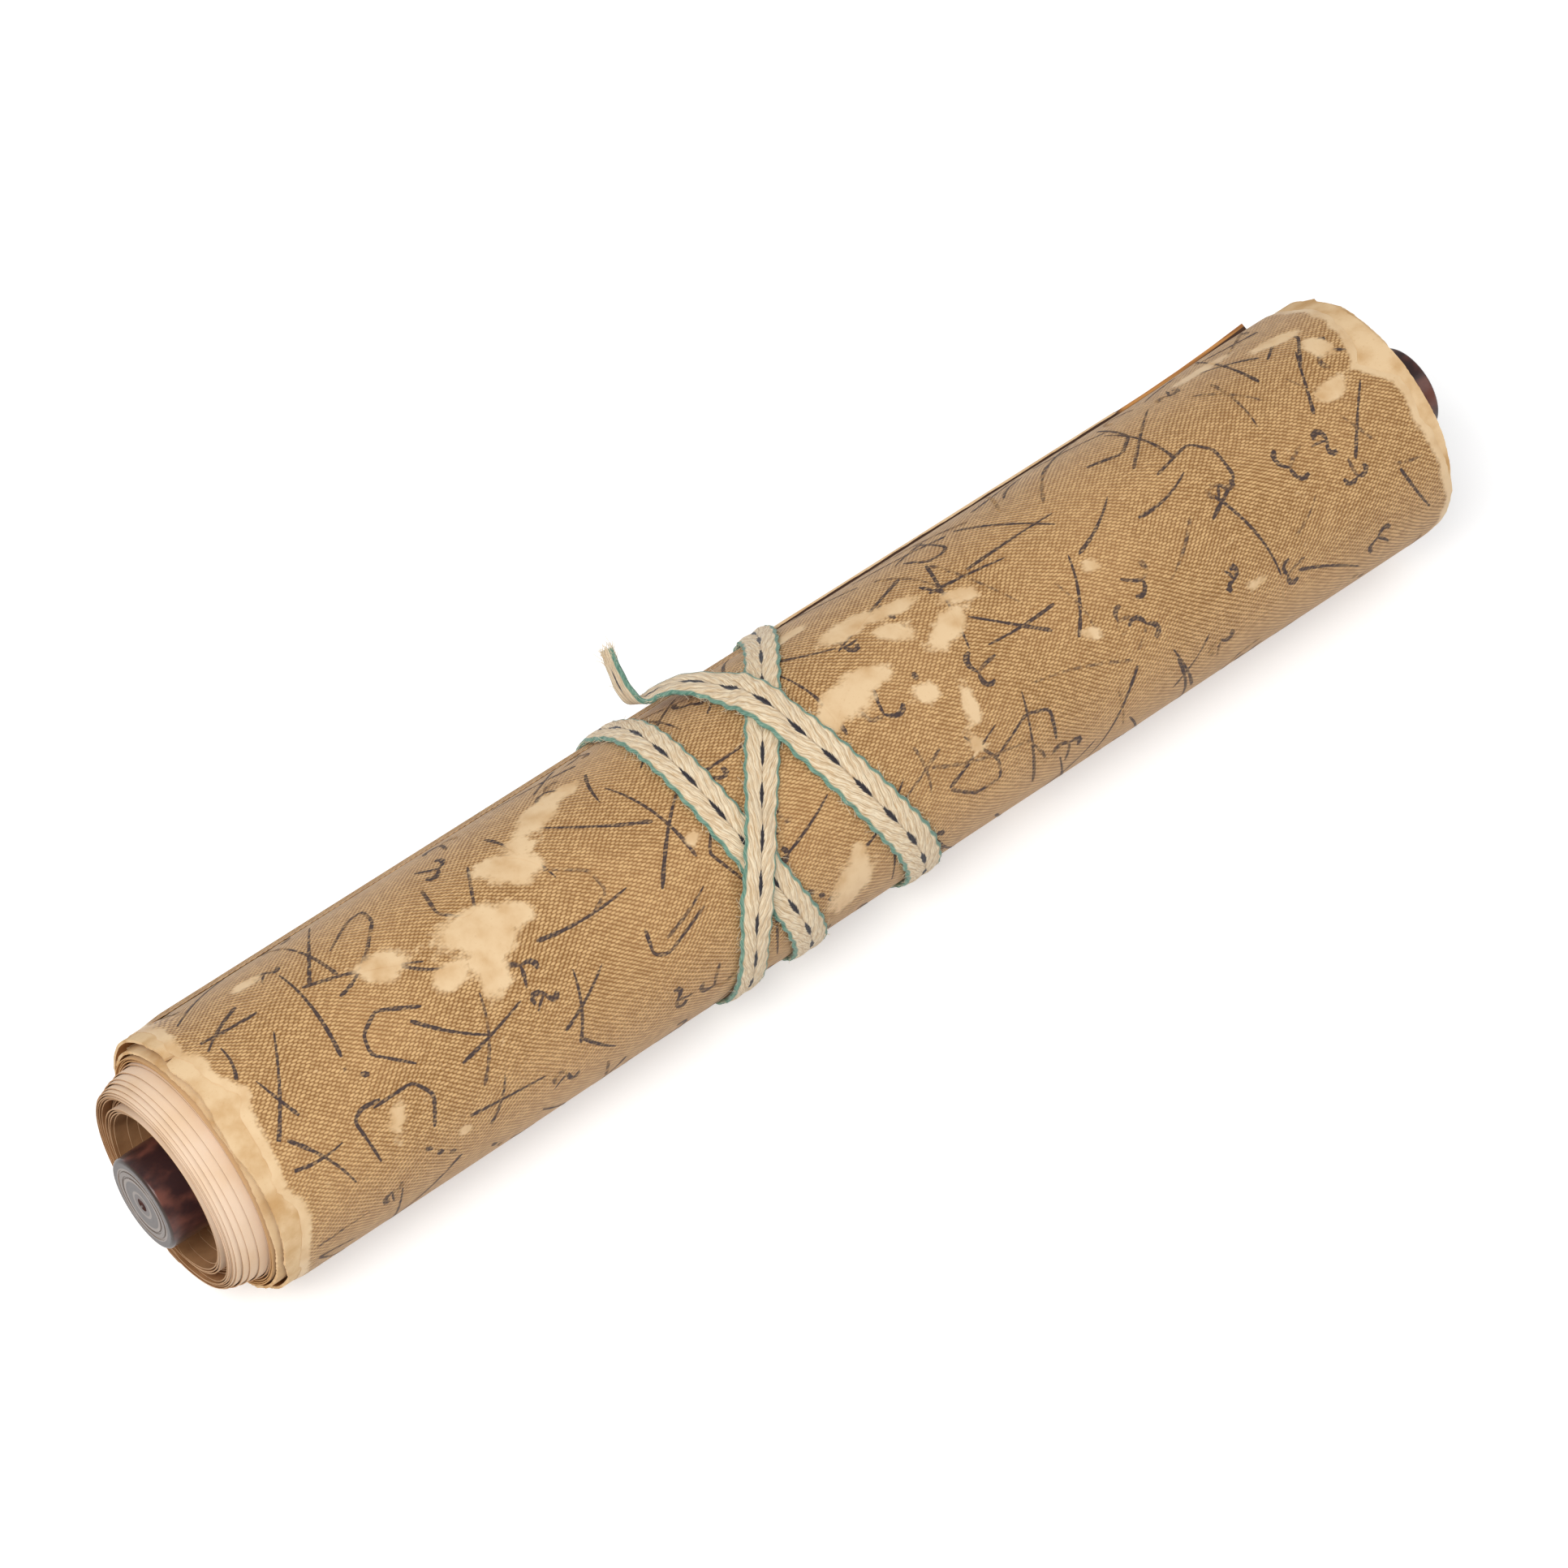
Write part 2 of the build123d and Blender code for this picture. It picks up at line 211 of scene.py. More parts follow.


# %% [markdown]
# ## Route of the braid
# The braid starts under the middle of the batten, goes three times round the roll and ends in a
# loose end that stands off it. Its places are listed: an angle seen from the right end,
# which falls as the braid goes on round, and a distance along the roll. They become the control
# points of one smooth spline. Such a spline runs a little inside its control points, so they lie
# further out, by the cosine of half a step.

# %% Route of the braid
BRAID_THICKNESS = 1.3 * MM
BRAID_CLEARANCE = 0.04 * MM
WOUND_POINTS = 52
WOUND_PLACES = [
    (18.4, -8.2), (-58.4, -14.2), (-148.4, -20.0), (-176.0, -22.6), (-194.0, -26.0),
    (-204.0, -27.6), (-237.0, -31.2), (-270.0, -32.0), (-309.0, -30.8), (-328.4, -31.0),
    (-418.4, -34.0), (-508.4, -35.8), (-533.0, -36.5), (-561.0, -35.0), (-588.0, -28.0),
    (-617.0, -16.7), (-660.0, 0.0), (-688.4, 6.2), (-778.4, 8.2), (-868.4, 7.6),
    (-899.0, 4.6), (-924.0, -0.8), (-950.0, -5.6), (-980.0, -9.6), (-1008.4, -11.9),
]
CROSSINGS = (-583, -995)
CROSSING_REACH = 16
LOOSE_PLACES = [
    (-13.4, 62.0, 28.4), (-16.4, 54.0, 29.2), (-19.8, 47.8, 29.4), (-23.0, 45.0, 28.9),
    (-25.2, 44.3, 29.8), (-25.6, 44.0, 33.4), (-25.2, 43.6, 37.2), (-24.6, 43.2, 40.6),
]


def round_axis(x, angle, radius):
    """Places by distance along the roll, angle in degrees and distance from its axis."""
    angle = np.radians(angle)
    return np.stack([x, radius * np.cos(angle), radius * np.sin(angle)], axis=1)


def unit(ways):
    """The same ways, all one long."""
    return ways / np.linalg.norm(ways, axis=1)[:, None]


def route_points():
    """Control points of the braid, from the axis: the winding, then the loose end."""
    angles, places = np.array(WOUND_PLACES).T
    wound = np.linspace(angles[0], angles[-1], WOUND_POINTS)
    over = np.abs(wound[:, None] - CROSSINGS).min(axis=1) < CROSSING_REACH
    radius = ROLL_RADIUS + BRAID_CLEARANCE + BRAID_THICKNESS * (0.5 + over)
    half_step = math.radians(angles[0] - angles[-1]) / (WOUND_POINTS - 1) / 2
    x = np.interp(-wound, -angles, places) * MM
    winding = round_axis(x, wound, radius / math.cos(half_step))
    x, angle, radius = np.array(LOOSE_PLACES).T
    return np.concatenate([winding, round_axis(x * MM, angle, radius * MM)])


def curve_mesh(name, lines, kind="NURBS", **settings):
    """The mesh of a curve that has these lines of control points."""
    curve = bpy.data.curves.new(name, "CURVE")
    curve.dimensions = "3D"
    for setting, value in settings.items():
        setattr(curve, setting, value)
    for line in lines:
        spline = curve.splines.new(kind)
        spline.points.add(len(line) - 1)
        spline.points.foreach_set("co", np.insert(line, 3, 1, axis=1).ravel())
        spline.order_u = 3
        spline.use_endpoint_u = True
    drawn = bpy.data.objects.new(name, curve)
    mesh = bpy.data.meshes.new_from_object(drawn)
    bpy.data.objects.remove(drawn)
    bpy.data.curves.remove(curve)
    return mesh


controls = route_points() + (0, 0, AXIS_HEIGHT)
route = curve_mesh("route", [controls], resolution_u=24)
route_line = np.array([vertex.co for vertex in route.vertices])
bpy.data.meshes.remove(route)
route_lengths = lengths_along(route_line)
BRAID_LENGTH = route_lengths[-1]
print(f"braid: {len(controls)} control points, {BRAID_LENGTH / MM:.0f} mm long")

# %% [markdown]
# ## What the braid lies on
# The braid is limp, so it takes the shape of what is under it: the cover, the batten along the
# back, and its own earlier turns where it crosses them. The roll's outline is pulled tight with a
# convex hull, which is what a tied cord does, and a crossing adds the thickness of a braid with
# an easy slope to both sides.

# %% Outline under the braid
BATTEN_CORNERS = ((19.7, 27.16), (30.3, 27.16))
CROSSING_FULL = 3.2 * MM
CROSSING_GONE = 8.0 * MM
CROSSING_SLOPE = 0.92


def tied_outline():
    """Angles and radii of the convex outline of the cover and the batten."""
    turns = np.concatenate([np.linspace(COVER_START, 1, 400), np.linspace(1.001, 1.08, 20)])
    angle, radius = np.array(BATTEN_CORNERS).T
    batten = round_axis(0 * angle, angle, radius * MM)[:, 1:]
    round_cover = np.stack(spiral(cover_levels, turns, 0), axis=1)
    points = [Vector(point) for point in (*round_cover, *batten)]
    hull = [points[index] for index in mathutils.geometry.convex_hull_2d(points)]
    corners = np.array([*hull, hull[0]])
    shares = np.linspace(0, 1, 12, endpoint=False)
    edges = [a + (b - a) * share for a, b in zip(corners, corners[1:]) for share in shares]
    y, z = np.array(edges).T
    angles = np.degrees(np.arctan2(z, y)) % 360
    order = np.argsort(angles)
    return angles[order], np.hypot(y, z)[order]


outline_angles, outline_radii = tied_outline()


def smooth_share(value):
    """Goes from 0 to 1 with level ends, as value does."""
    value = np.clip(value, 0, 1)
    return value * value * (3 - 2 * value)


line_angles = np.unwrap(np.arctan2(route_line[:, 2] - AXIS_HEIGHT, route_line[:, 1]))
line_angles = np.degrees(line_angles)
line_angles += 360 * round((WOUND_PLACES[0][0] - line_angles[0]) / 360)


def lying_radius(x, angle):
    """Distance from the axis to what carries the braid at these places."""
    carried = np.interp(angle % 360, outline_angles, outline_radii, period=360)
    height = np.zeros_like(x)
    for earlier in (360, 720):
        before = angle + earlier
        below = np.interp(-before, -line_angles, route_line[:, 0])
        gap = np.abs(x - below) * CROSSING_SLOPE
        over = smooth_share((CROSSING_GONE - gap) / (CROSSING_GONE - CROSSING_FULL))
        over[before > WOUND_PLACES[0][0]] = 0
        height = np.maximum(height, over * BRAID_THICKNESS)
    return carried + BRAID_CLEARANCE + height


# %% [markdown]
# ## Braid
# A flat braid is thickest along the middle of each of its two plaits, has a groove between them
# where the dark stitches show, and a round yarn along each edge. The strip is a grid that is
# bent round that section: half of its rows make the upper face and half the lower one.

# %% Braid section
SECTION_SIDES = np.array([0.0, 0.16, 0.45, 0.72, 0.84, 0.92, 1.0])
SECTION_TOP = np.array([0.84, 0.92, 1.0, 0.88, 0.74, 0.84, 0.46])
SECTION_BOTTOM = np.array([0.0, 0.0, 0.0, 0.0, 0.04, 0.10, 0.46])
SCALLOP_LENGTH = 4.1 * MM
SCALLOP_DEPTH = 0.05
PLAIT_LENGTH = 2.05 * MM
BRAID_STEP = 0.4 * MM
PLAIT_RELIEF = 0.07 * MM
LIFT_START, LIFT_END = -1006, -1030
TAIL_SIDE = np.array((-0.03, 0.72, -0.69))
TAIL_LENGTH = 17 * MM
TAIL_TWIST = 6 * MM
WIDTH_ANGLES = (-1021, -985, -899, -868, -700, -640, -560, -520, -330, -180, 18.4)
WIDTHS = (8.4, 8.8, 8.6, 8.0, 7.4, 6.7, 6.4, 7.4, 7.6, 7.8, 8.0)


def width_at(angle, length):
    """Width of the braid, which is narrower where it is pulled tighter or comes undone."""
    undone = smooth_share((length - BRAID_LENGTH + TAIL_LENGTH) / TAIL_LENGTH)
    return np.interp(angle, WIDTH_ANGLES, WIDTHS) * (1 - 0.5 * undone) * MM


def braid_section(share, length):
    """Side and height over the underside, for shares round the section."""
    top = share <= 0.5
    side = np.sin(np.where(top, 4 * share - 1, 3 - 4 * share) * np.pi / 2)
    off = np.abs(side)
    upper, lower = (np.interp(off, SECTION_SIDES, face) for face in (SECTION_TOP, SECTION_BOTTOM))
    height = np.where(top, upper, lower)
    plait = np.sin(2 * np.pi * (length / PLAIT_LENGTH + 0.8 * off))
    relief = PLAIT_RELIEF * plait * top * smooth_share((0.86 - off) * 8)
    return side, height * BRAID_THICKNESS + relief


def route_place(length):
    """Places of the braid's middle line."""
    return place_along(route_line, route_lengths, length)


def braid_surface(length, share):
    """Places of the braid's surface, at lengths along it and shares round its section."""
    side, height = braid_section(share, length)
    phase = np.where(side < 0, 0, np.pi)
    scallop = 1 + SCALLOP_DEPTH * np.sin(2 * np.pi * length / SCALLOP_LENGTH + phase)
    angle = np.interp(length, route_lengths, line_angles)
    across = side * scallop * width_at(angle, length) / 2
    middle = route_place(length)
    tangent = unit(route_place(length + 0.3 * MM) - route_place(length - 0.3 * MM))
    square = unit(np.cross(tangent, round_axis(0 * angle, angle, 1)))

    round_way = round_axis(0 * angle, angle + 90, 1)
    x = middle[:, 0] + across * square[:, 0]
    here = angle + np.degrees(across * (square * round_way).sum(1) / ROLL_RADIUS)
    lying = round_axis(x, here, lying_radius(x, here) + height) + (0, 0, AXIS_HEIGHT)

    in_tail = length - BRAID_LENGTH + TAIL_LENGTH
    loose = smooth_share((LIFT_START - angle) / (LIFT_START - LIFT_END))
    loose = np.maximum(loose, in_tail > 0)[:, None]
    twisted = smooth_share(in_tail / TAIL_TWIST)[:, None]
    free_side = square * (1 - twisted) + TAIL_SIDE * twisted
    free_side = unit(free_side - tangent * (free_side * tangent).sum(1)[:, None])
    up = np.cross(free_side, tangent) * (height - BRAID_THICKNESS / 2)[:, None]
    free = middle + free_side * across[:, None] + up
    return lying * (1 - loose) + free * loose, side


# %% Braid
braid, share_along, share_round = flat_grid("braid", int(BRAID_LENGTH / BRAID_STEP), 28, 1.0)
lengths = share_along * BRAID_LENGTH
places, sides = braid_surface(lengths, share_round)
place_vertices(braid, places - (0, 0, AXIS_HEIGHT))
set_layout(braid, sides, lengths / MM)
bpy.ops.object.mode_set(mode="EDIT")
bpy.ops.mesh.select_all(action="SELECT")
bpy.ops.mesh.remove_doubles(threshold=0.002 * MM)
bpy.ops.mesh.select_all(action="DESELECT")
bpy.ops.mesh.select_non_manifold()
bpy.ops.mesh.fill_holes(sides=0)
bpy.ops.mesh.select_all(action="SELECT")
bpy.ops.mesh.normals_make_consistent(inside=False)
bpy.ops.object.mode_set(mode="OBJECT")
bpy.ops.object.shade_smooth()
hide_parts("tie_cord")
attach(braid, "root")
print("braid faces:", len(braid.data.polygons))

# %% [markdown]
# ## Paper
# The strip inside is about three and a half metres long. It has slipped sideways on the roller,
# so at the left end its turns stand out of the cover like a telescope, and at the right end they
# lie deep inside it. The outermost turns end level with the cover, and each of the next ones
# stands a little further out than the one over it. Then come a bunch of turns that end together,
# a groove, a second bunch, and the inner turns, which lie deeper and deeper. Each turn gets a
# little slip of its own, because no roll is wound quite evenly.

# %% Paper turns
PAPER_WIDTH = 284 * MM
PAPER_THICKNESS = 0.20 * MM
PAPER_TURNS = 35
PAPER_UNEVEN = 0.05
LEVEL_TURNS = (0, 1, 2, 3, 8, 12, 34)
LEVEL_RADII = (23.69, 23.36, 23.05, 22.40, 20.50, 19.10, 9.05)
SLIP_RADII = (12, 14.5, 15, 15.5, 15.9, 16.2, 17.3, 17.7, 18.7, 19.1, 20.5, 20.9, 21.3, 21.8, 22.2)
SLIPS = (0, 0.2, 2.2, 4.4, 6.4, 7.4, 7.5, 5.0, 5.2, 7.4, 7.3, 6.4, 5.4, 3.6, 1.9)
OUTER_RADII = (22.5, 22.9, 23.1, 23.4, 23.7)
OUTER_SLIPS = (0.6, 0.4, 1.1, 0.5, 0.9)


def paper_levels():
    """Outer radius of each turn over the top, with turns that lie closer and further apart."""
    radii = np.interp(np.arange(PAPER_TURNS), LEVEL_TURNS, LEVEL_RADII)
    uneven = PAPER_UNEVEN * np.sin(np.arange(PAPER_TURNS) * 2.4)
    uneven[0] = uneven[-1] = 0
    return (radii + uneven) * MM


def paper_slip(turns, y, z):
    """How far the paper stands out to the left: by its radius, and a little by its turn."""
    radii, slips = SLIP_RADII + OUTER_RADII, SLIPS + OUTER_SLIPS
    slip = np.interp(np.hypot(y, z) / MM, radii, slips)
    own = 0.22 * np.sin(turns * 5.1) + 0.10 * np.sin(turns * 2 * np.pi + 1.0)
    return (slip + own * smooth_share(turns - 0.5)) * MM


levels = paper_levels()
paper_turns, paper_lengths = measured_turns(levels, 0, PAPER_TURNS - 1.02)
paper, across, along = flat_grid("paper_turns", 2500, 6, 1.6)
turns = np.interp(across * paper_lengths[-1], paper_lengths, paper_turns)
y, z = spiral(levels, turns, 0)
x = -PAPER_WIDTH / 2 - paper_slip(turns, y, z) + along * PAPER_WIDTH
place_vertices(paper, np.stack([x, y, z], axis=1))
thicken(paper, PAPER_THICKNESS, back=1, edge=2)
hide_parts("paper_roll")
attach(paper, "root")
print(f"paper strip: {paper_lengths[-1]:.2f} m in {PAPER_TURNS} turns")

# %% [markdown]
# ## Cover
# The cover is two sheets glued together, so both follow the same hollows. The upper one, the
# silk, has frayed back from both rims and leaves a bare margin of paper. The paper under it is
# torn at the left rim, where a lip of it stands off the turns below and its corner comes round
# from behind the batten. At the right, the cover's inner turn stands out of the outer one, and
# the free edge rises with the sprung end of the batten.

# %% Shape of the cover
CORNER_SIDE = -132 * MM
CORNER_REACH = 34 / 360
CORNER_SHARE = 0.05
HOLLOW_DEPTH = 0.07 * MM
LIP_LIFT = 0.6 * MM
LIP_ENDS_AT = 73 / 360
EDGE_LIFT = 0.7 * MM
EDGE_RISES_AT = 96 * MM
# How far each goes, in millimetres, and where: its middle and half its width, in degrees.
TEAR_DEPTH, TEAR = 2.6, (74.5, 1.6)
FLAKE_REACH, FLAKE = 1.2, (49, 5)
BULGE_REACH, BULGE = 0.5, (55, 24, 1.5)
EDGE_ANGLES = (31, 47, 70, 80, 90, 100, 111, 124, 141, 156, 168, 183, 199, 260, 360, 400)
EDGE_PLACES = (0.3, 0.1, 0.0, 0.9, 0.4, 0.2, 1.1, 1.5, 0.4, 0.1, 0.1, 0.6, -0.5, 0.0, 0.6, 1.3)
INNER_ANGLES = (330, 385, 425, 470, 700)
INNER_PLACES = (0, 2.2, 2.2, 0.3, 0.0)


def raggedness(turns, size, seed):
    """A torn edge: uneven steps of three sizes, along the turn."""
    chance = np.random.default_rng(seed)
    edge = np.zeros_like(turns)
    for steps, share in ((23, 1.0), (71, 0.7), (290, 0.45)):
        heights = chance.uniform(-1, 1, 3 * steps)
        edge += share * np.interp(turns * steps, np.arange(-steps, 2 * steps), heights)
    return size * edge


def cover_relief(x, turns):
    """How far the cover stands off its spiral: hollows, the left lip and the raised edge."""
    hollow = np.sin(x / (19 * MM) + 3 * np.sin(turns * 7)) * np.sin(turns * 23 + x / (31 * MM))
    lip = smooth_share((CORNER_SIDE - x) / (9 * MM)) * smooth_share((LIP_ENDS_AT - turns) / 0.02)
    raised = smooth_share((x - EDGE_RISES_AT) / (30 * MM)) * smooth_share((0.14 - turns) / 0.045)
    return (turns < 1) * (HOLLOW_DEPTH * (hollow - 1) + LIP_LIFT * lip + EDGE_LIFT * raised)


def peak(angle, middle, half_width, height=1.0):
    """Rises to 1 at the middle of a stretch of the turn, with a flat top if it is higher."""
    return np.clip(height - np.abs(angle - middle) / half_width, 0, 1)


def cover_ends(turns):
    """Both ends of the cover's paper, along the roll."""
    angle = turns * 360
    beyond = np.interp(angle, EDGE_ANGLES, EDGE_PLACES) - TEAR_DEPTH * peak(angle, *TEAR)
    left = -COVER_LENGTH / 2 - beyond * MM + raggedness(turns, 0.20 * MM, 17)
    flake = FLAKE_REACH * peak(angle, *FLAKE) + BULGE_REACH * peak(angle, *BULGE)
    inner = np.interp(angle, INNER_ANGLES, INNER_PLACES)
    right = COVER_LENGTH / 2 + (flake + inner) * MM + raggedness(turns, 0.16 * MM, 4)
    return left, right


def rim_distance(x, ends):
    """How far a place is from the nearer end of a sheet."""
    left, right = ends
    return np.minimum(x - left, right - x)


def lay_on_cover(piece, x, turns, depth):
    """Rolls up a piece with the cover, this deep under the outer face of the silk."""
    y, z = spiral(cover_levels, turns, depth - cover_relief(x, turns))
    place_vertices(piece, np.stack([x, y, z], axis=1))


def wind_cover(piece, across, along, depth_at, ends):
    """Rolls up one sheet of the cover between its two ends."""
    turns = np.interp(across * cover_lengths[-1], cover_lengths, cover_turns)
    left, right = ends(turns)
    x = left + along * (right - left)
    rim = rim_distance(x, (left, right))
    corner = smooth_share((CORNER_SIDE - x) / (1.5 * MM)) * smooth_share(1 - across / CORNER_SHARE)
    turns = turns - corner * CORNER_REACH
    lay_on_cover(piece, x, turns, depth_at(rim))
    return turns, x, rim


# %% Cover lining
lining, across, along = flat_grid("cover_paper", 1100, 30, 2.6)
wind_cover(lining, across, along, lambda rim: SILK_THICKNESS + GLUE_LINE + 0 * rim, cover_ends)
thicken(lining, LINING_THICKNESS, back=1)
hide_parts("cover_lining")
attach(lining, "root")

# %% [markdown]
# The silk's wear is a number on each of its vertices: 1 in the middle of a worn patch and 0 away
# from it. The patches are listed one by one, each as an oval with its own tilt.

# %% Cover silk
SILK_LENGTH = COVER_LENGTH - 10 * MM
THINNED = 2.0 * MM
FRAYED = 3.2 * MM
SILK_RAGGED = 0.55 * MM
LEFT_ANGLES = (31, 40, 53, 67, 77, 84, 92, 101, 107, 114, 129, 147, 157, 167, 182, 220, 360, 700)
LEFT_MARGINS = (
    3.3, 3.1, 2.7, 1.7, 1.7, 2.5, 2.4, 4.1, 5.1, 2.7,
    2.4, 1.8, 3.7, 4.1, 2.5, 3.5, 3.5, 3.5,
)
RIGHT_ANGLES = (31, 60, 75, 87, 101, 107, 115, 136, 147, 168, 188, 230, 360, 700)
RIGHT_MARGINS = (4.7, 2.3, 2.5, 4.3, 7.9, 5.9, 2.1, 2.9, 1.5, 0.3, 0.1, 2.5, 3.5, 3.5)
WORN_PATCHES = (
    (-100, 93, 4.6, 3.4, 10), (-84, 99, 6.0, 3.6, 0), (-81, 107, 6.5, 5.0, -30),
    (-84, 117, 3.2, 6.0, 20), (-91, 112, 4.0, 2.4, 0), (-75, 104, 4.4, 2.6, 30),
    (-68, 88, 4.6, 4.0, 0), (-73, 80, 3.0, 2.2, 0), (-64, 80, 3.4, 2.0, 30),
    (-57, 70, 6.6, 3.0, -25), (-50, 66, 4.0, 2.0, 0), (-113, 148, 1.4, 4.4, 25),
    (-101, 171, 1.2, 1.0, 0), (-38, 118, 1.8, 1.4, 0), (3, 104, 5.8, 4.0, 0),
    (-3, 108, 3.6, 2.4, 0), (10, 101, 4.4, 2.4, 20), (14, 75, 6.0, 2.6, 0),
    (20, 90, 4.2, 2.2, 40), (29, 101, 6.0, 2.6, -20), (24, 80, 5.0, 1.8, 10),
    (35, 92, 3.4, 1.8, 30), (17, 120, 2.6, 2.0, 0), (23, 134, 1.8, 5.2, 10),
    (21, 150, 1.2, 2.6, 0), (-12, 176, 4.4, 6.2, 35), (-9, 163, 1.8, 2.6, 0),
    (53, 136, 2.6, 1.2, 30), (60, 112, 2.0, 1.4, 0), (125, 104, 3.6, 2.2, -10),
    (126, 66, 5.0, 1.6, 15), (130, 84, 2.4, 3.4, -20), (112, 52, 7.0, 1.6, 5),
    (4, 56, 7.0, 1.6, 0), (-120, 60, 3.0, 1.6, 0), (90, 158, 2.0, 1.2, 0),
    (40, 240, 7.0, 4.0, 10), (-70, 215, 8.0, 3.0, 5), (80, 330, 9.0, 3.6, 10),
    (-30, 350, 5.0, 6.0, 20), (-110, 320, 6.0, 3.0, 0), (10, 300, 4.0, 3.0, 0),
)


def silk_ends(turns):
    """Both ends of the silk: a bare margin inside the rims, with frayed threads."""
    left = np.interp(turns * 360, LEFT_ANGLES, LEFT_MARGINS) * MM
    right = np.interp(turns * 360, RIGHT_ANGLES, RIGHT_MARGINS) * MM
    left += raggedness(turns, SILK_RAGGED, 23)
    right += raggedness(turns, SILK_RAGGED, 9)
    return left - COVER_LENGTH / 2, COVER_LENGTH / 2 - right


def thinned(rim):
    """Depth of the silk's outer face, which goes down to the paper where the silk thins out."""
    return (SILK_THICKNESS - SILK_EDGE) * smooth_share(1 - rim / THINNED)


def worn_share(x, turns):
    """How worn the silk is at these places, from 0 to 1."""
    wear = np.zeros_like(x)
    angle = turns * 360
    for patch_x, patch_angle, along, around, tilt in WORN_PATCHES:
        over = x / MM - patch_x
        down = np.radians(angle - patch_angle) * ROLL_RADIUS / MM
        turn = math.radians(tilt)
        first = (over * math.cos(turn) + down * math.sin(turn)) / along
        second = (down * math.cos(turn) - over * math.sin(turn)) / around
        wear = np.maximum(wear, np.clip(1.5 - np.hypot(first, second), 0, 1))
    rim = rim_distance(x, silk_ends(turns))
    return np.maximum(wear, smooth_share(1.1 - rim / FRAYED))


silk, across, along = flat_grid("silk_cloth", 310, 130, 1.25)
turns, x, rim = wind_cover(silk, across, along, thinned, silk_ends)
write_attribute(silk, "wear", worn_share(x, turns))
set_layout(silk, across, (x / SILK_LENGTH) + 0.5)
full = silk.vertex_groups.new(name="full")
for index, depth in enumerate(thinned(rim)):
    full.add([index], 1 - depth / (SILK_THICKNESS - SILK_EDGE), "REPLACE")
thicken(silk, SILK_THICKNESS, full=full)
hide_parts("cover_silk")
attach(silk, "root")

# %% [markdown]
# ## Print on the silk
# The silk is printed with a loose scatter of dark strokes, like dry stalks and small curled
# shoots. A seeded layout deals these motifs out over the flat cloth, so they come out the same
# each time. Every stroke is a narrow strip on the cloth. All strips are one long ribbon of
# faces, and the faces between two strokes are taken out.

# %% Motifs of the print
DYE_HEIGHT = 0.04 * MM
DYE_THICKNESS = 0.02 * MM
STROKE_STEP = 0.9
rng = np.random.default_rng(41)


def bow(length, sag):
    """A straight or lightly bowed stalk, thicker towards its foot."""
    share = np.linspace(0, 1, 7)
    return [(np.stack([length * (share - 0.5), sag * 4 * share * (1 - share)], 1), 0.4, 0.85)]


def bent_stalk():
    """A stalk that is broken over twice or three times."""
    reach = rng.uniform(3, 6)
    corners = [(-reach, -9), (-reach + 1.2, 0), (0, rng.uniform(0, 3)), (reach, -1)]
    corners += [(reach + 1.0, -rng.uniform(6, 12))] if rng.random() < 0.7 else []
    return [(np.array(corners) * rng.uniform(0.9, 1.2), 0.55, 0.85)]


def curl(start, heading, length, turn):
    """A line that curls in as it goes, as a young shoot does."""
    points = [np.array(start, dtype=float)]
    for share in np.linspace(0, 1, 7):
        heading += turn * (0.25 + share) / 5.5
        points.append(points[-1] + length / 7 * np.array([math.cos(heading), math.sin(heading)]))
    return np.array(points)


def shoot():
    """A short stem with two curled arms that end in dots."""
    size = rng.uniform(0.85, 1.2)
    stem = np.array([(0, -4.5), (0.3, -2), (0, 0)]) * size
    left = curl((0, 0), math.radians(140), 5 * size, rng.uniform(2.2, 3.2))
    right = curl((0, 0), math.radians(35), 5 * size, -rng.uniform(2.2, 3.2))
    return [(stem, 0.7, 0.8), (left, 0.8, 1.35), (right, 0.8, 1.35)]


def hook():
    """Two curls in a row, one under the other."""
    size = rng.uniform(0.9, 1.2)
    upper = curl((0, 0), math.radians(60), 4.6 * size, 3.4)
    lower = curl((0, 0), math.radians(-80), 5.2 * size, 3.6)
    arm = np.array([(0, 0), (1.8, 0.3), (3.2, 1.2)]) * size
    return [(upper, 0.85, 1.35), (lower, 0.85, 1.3), (arm, 0.7, 0.5)]


def dots():
    """Two or three short dabs in a row."""
    count = rng.integers(2, 4)
    dab = np.array([(-0.8, 0.1), (0, 0), (0.8, 0.2)])
    return [(dab + (3.2 * number, rng.uniform(-0.6, 0.6)), 1.1, 1.4) for number in range(count)]


def motif():
    """One motif, as a list of lines with the width at their start and end."""
    pick = rng.random()
    if pick < 0.34:
        return bow(rng.uniform(9, 24), rng.uniform(-1.2, 1.2))
    if pick < 0.52:
        return bow(rng.uniform(12, 24), rng.uniform(-1, 1)) + turned(
            bow(rng.uniform(8, 18), rng.uniform(-1, 1)), rng.uniform(0.6, 1.2), (2, 0)
        )
    if pick < 0.66:
        return bent_stalk()
    if pick < 0.72:
        return dots()
    return shoot() if pick < 0.88 else hook()


def turned(lines, angle, shift):
    """The lines turned by an angle and moved."""
    across = np.array([[math.cos(angle), math.sin(angle)], [-math.sin(angle), math.cos(angle)]])
    return [(line @ across + shift, start, end) for line, start, end in lines]


# %% Layout of the print
PRINT_CELL = 12.4
PRINT_ROUND = 163.0
PRINT_STRAY = 5
PRINT_SIDE = 135
PRINT_EDGE = 2.5


def fine_line(line):
    """A line with a point at every small step, and how far along each point is."""
    lengths = lengths_along(line)
    steps = np.linspace(0, lengths[-1], max(3, int(lengths[-1] / STROKE_STEP)))
    points = place_along(line, lengths, steps)
    points[1:-1] = (points[:-2] + 2 * points[1:-1] + points[2:]) / 4
    return points, steps / lengths[-1]


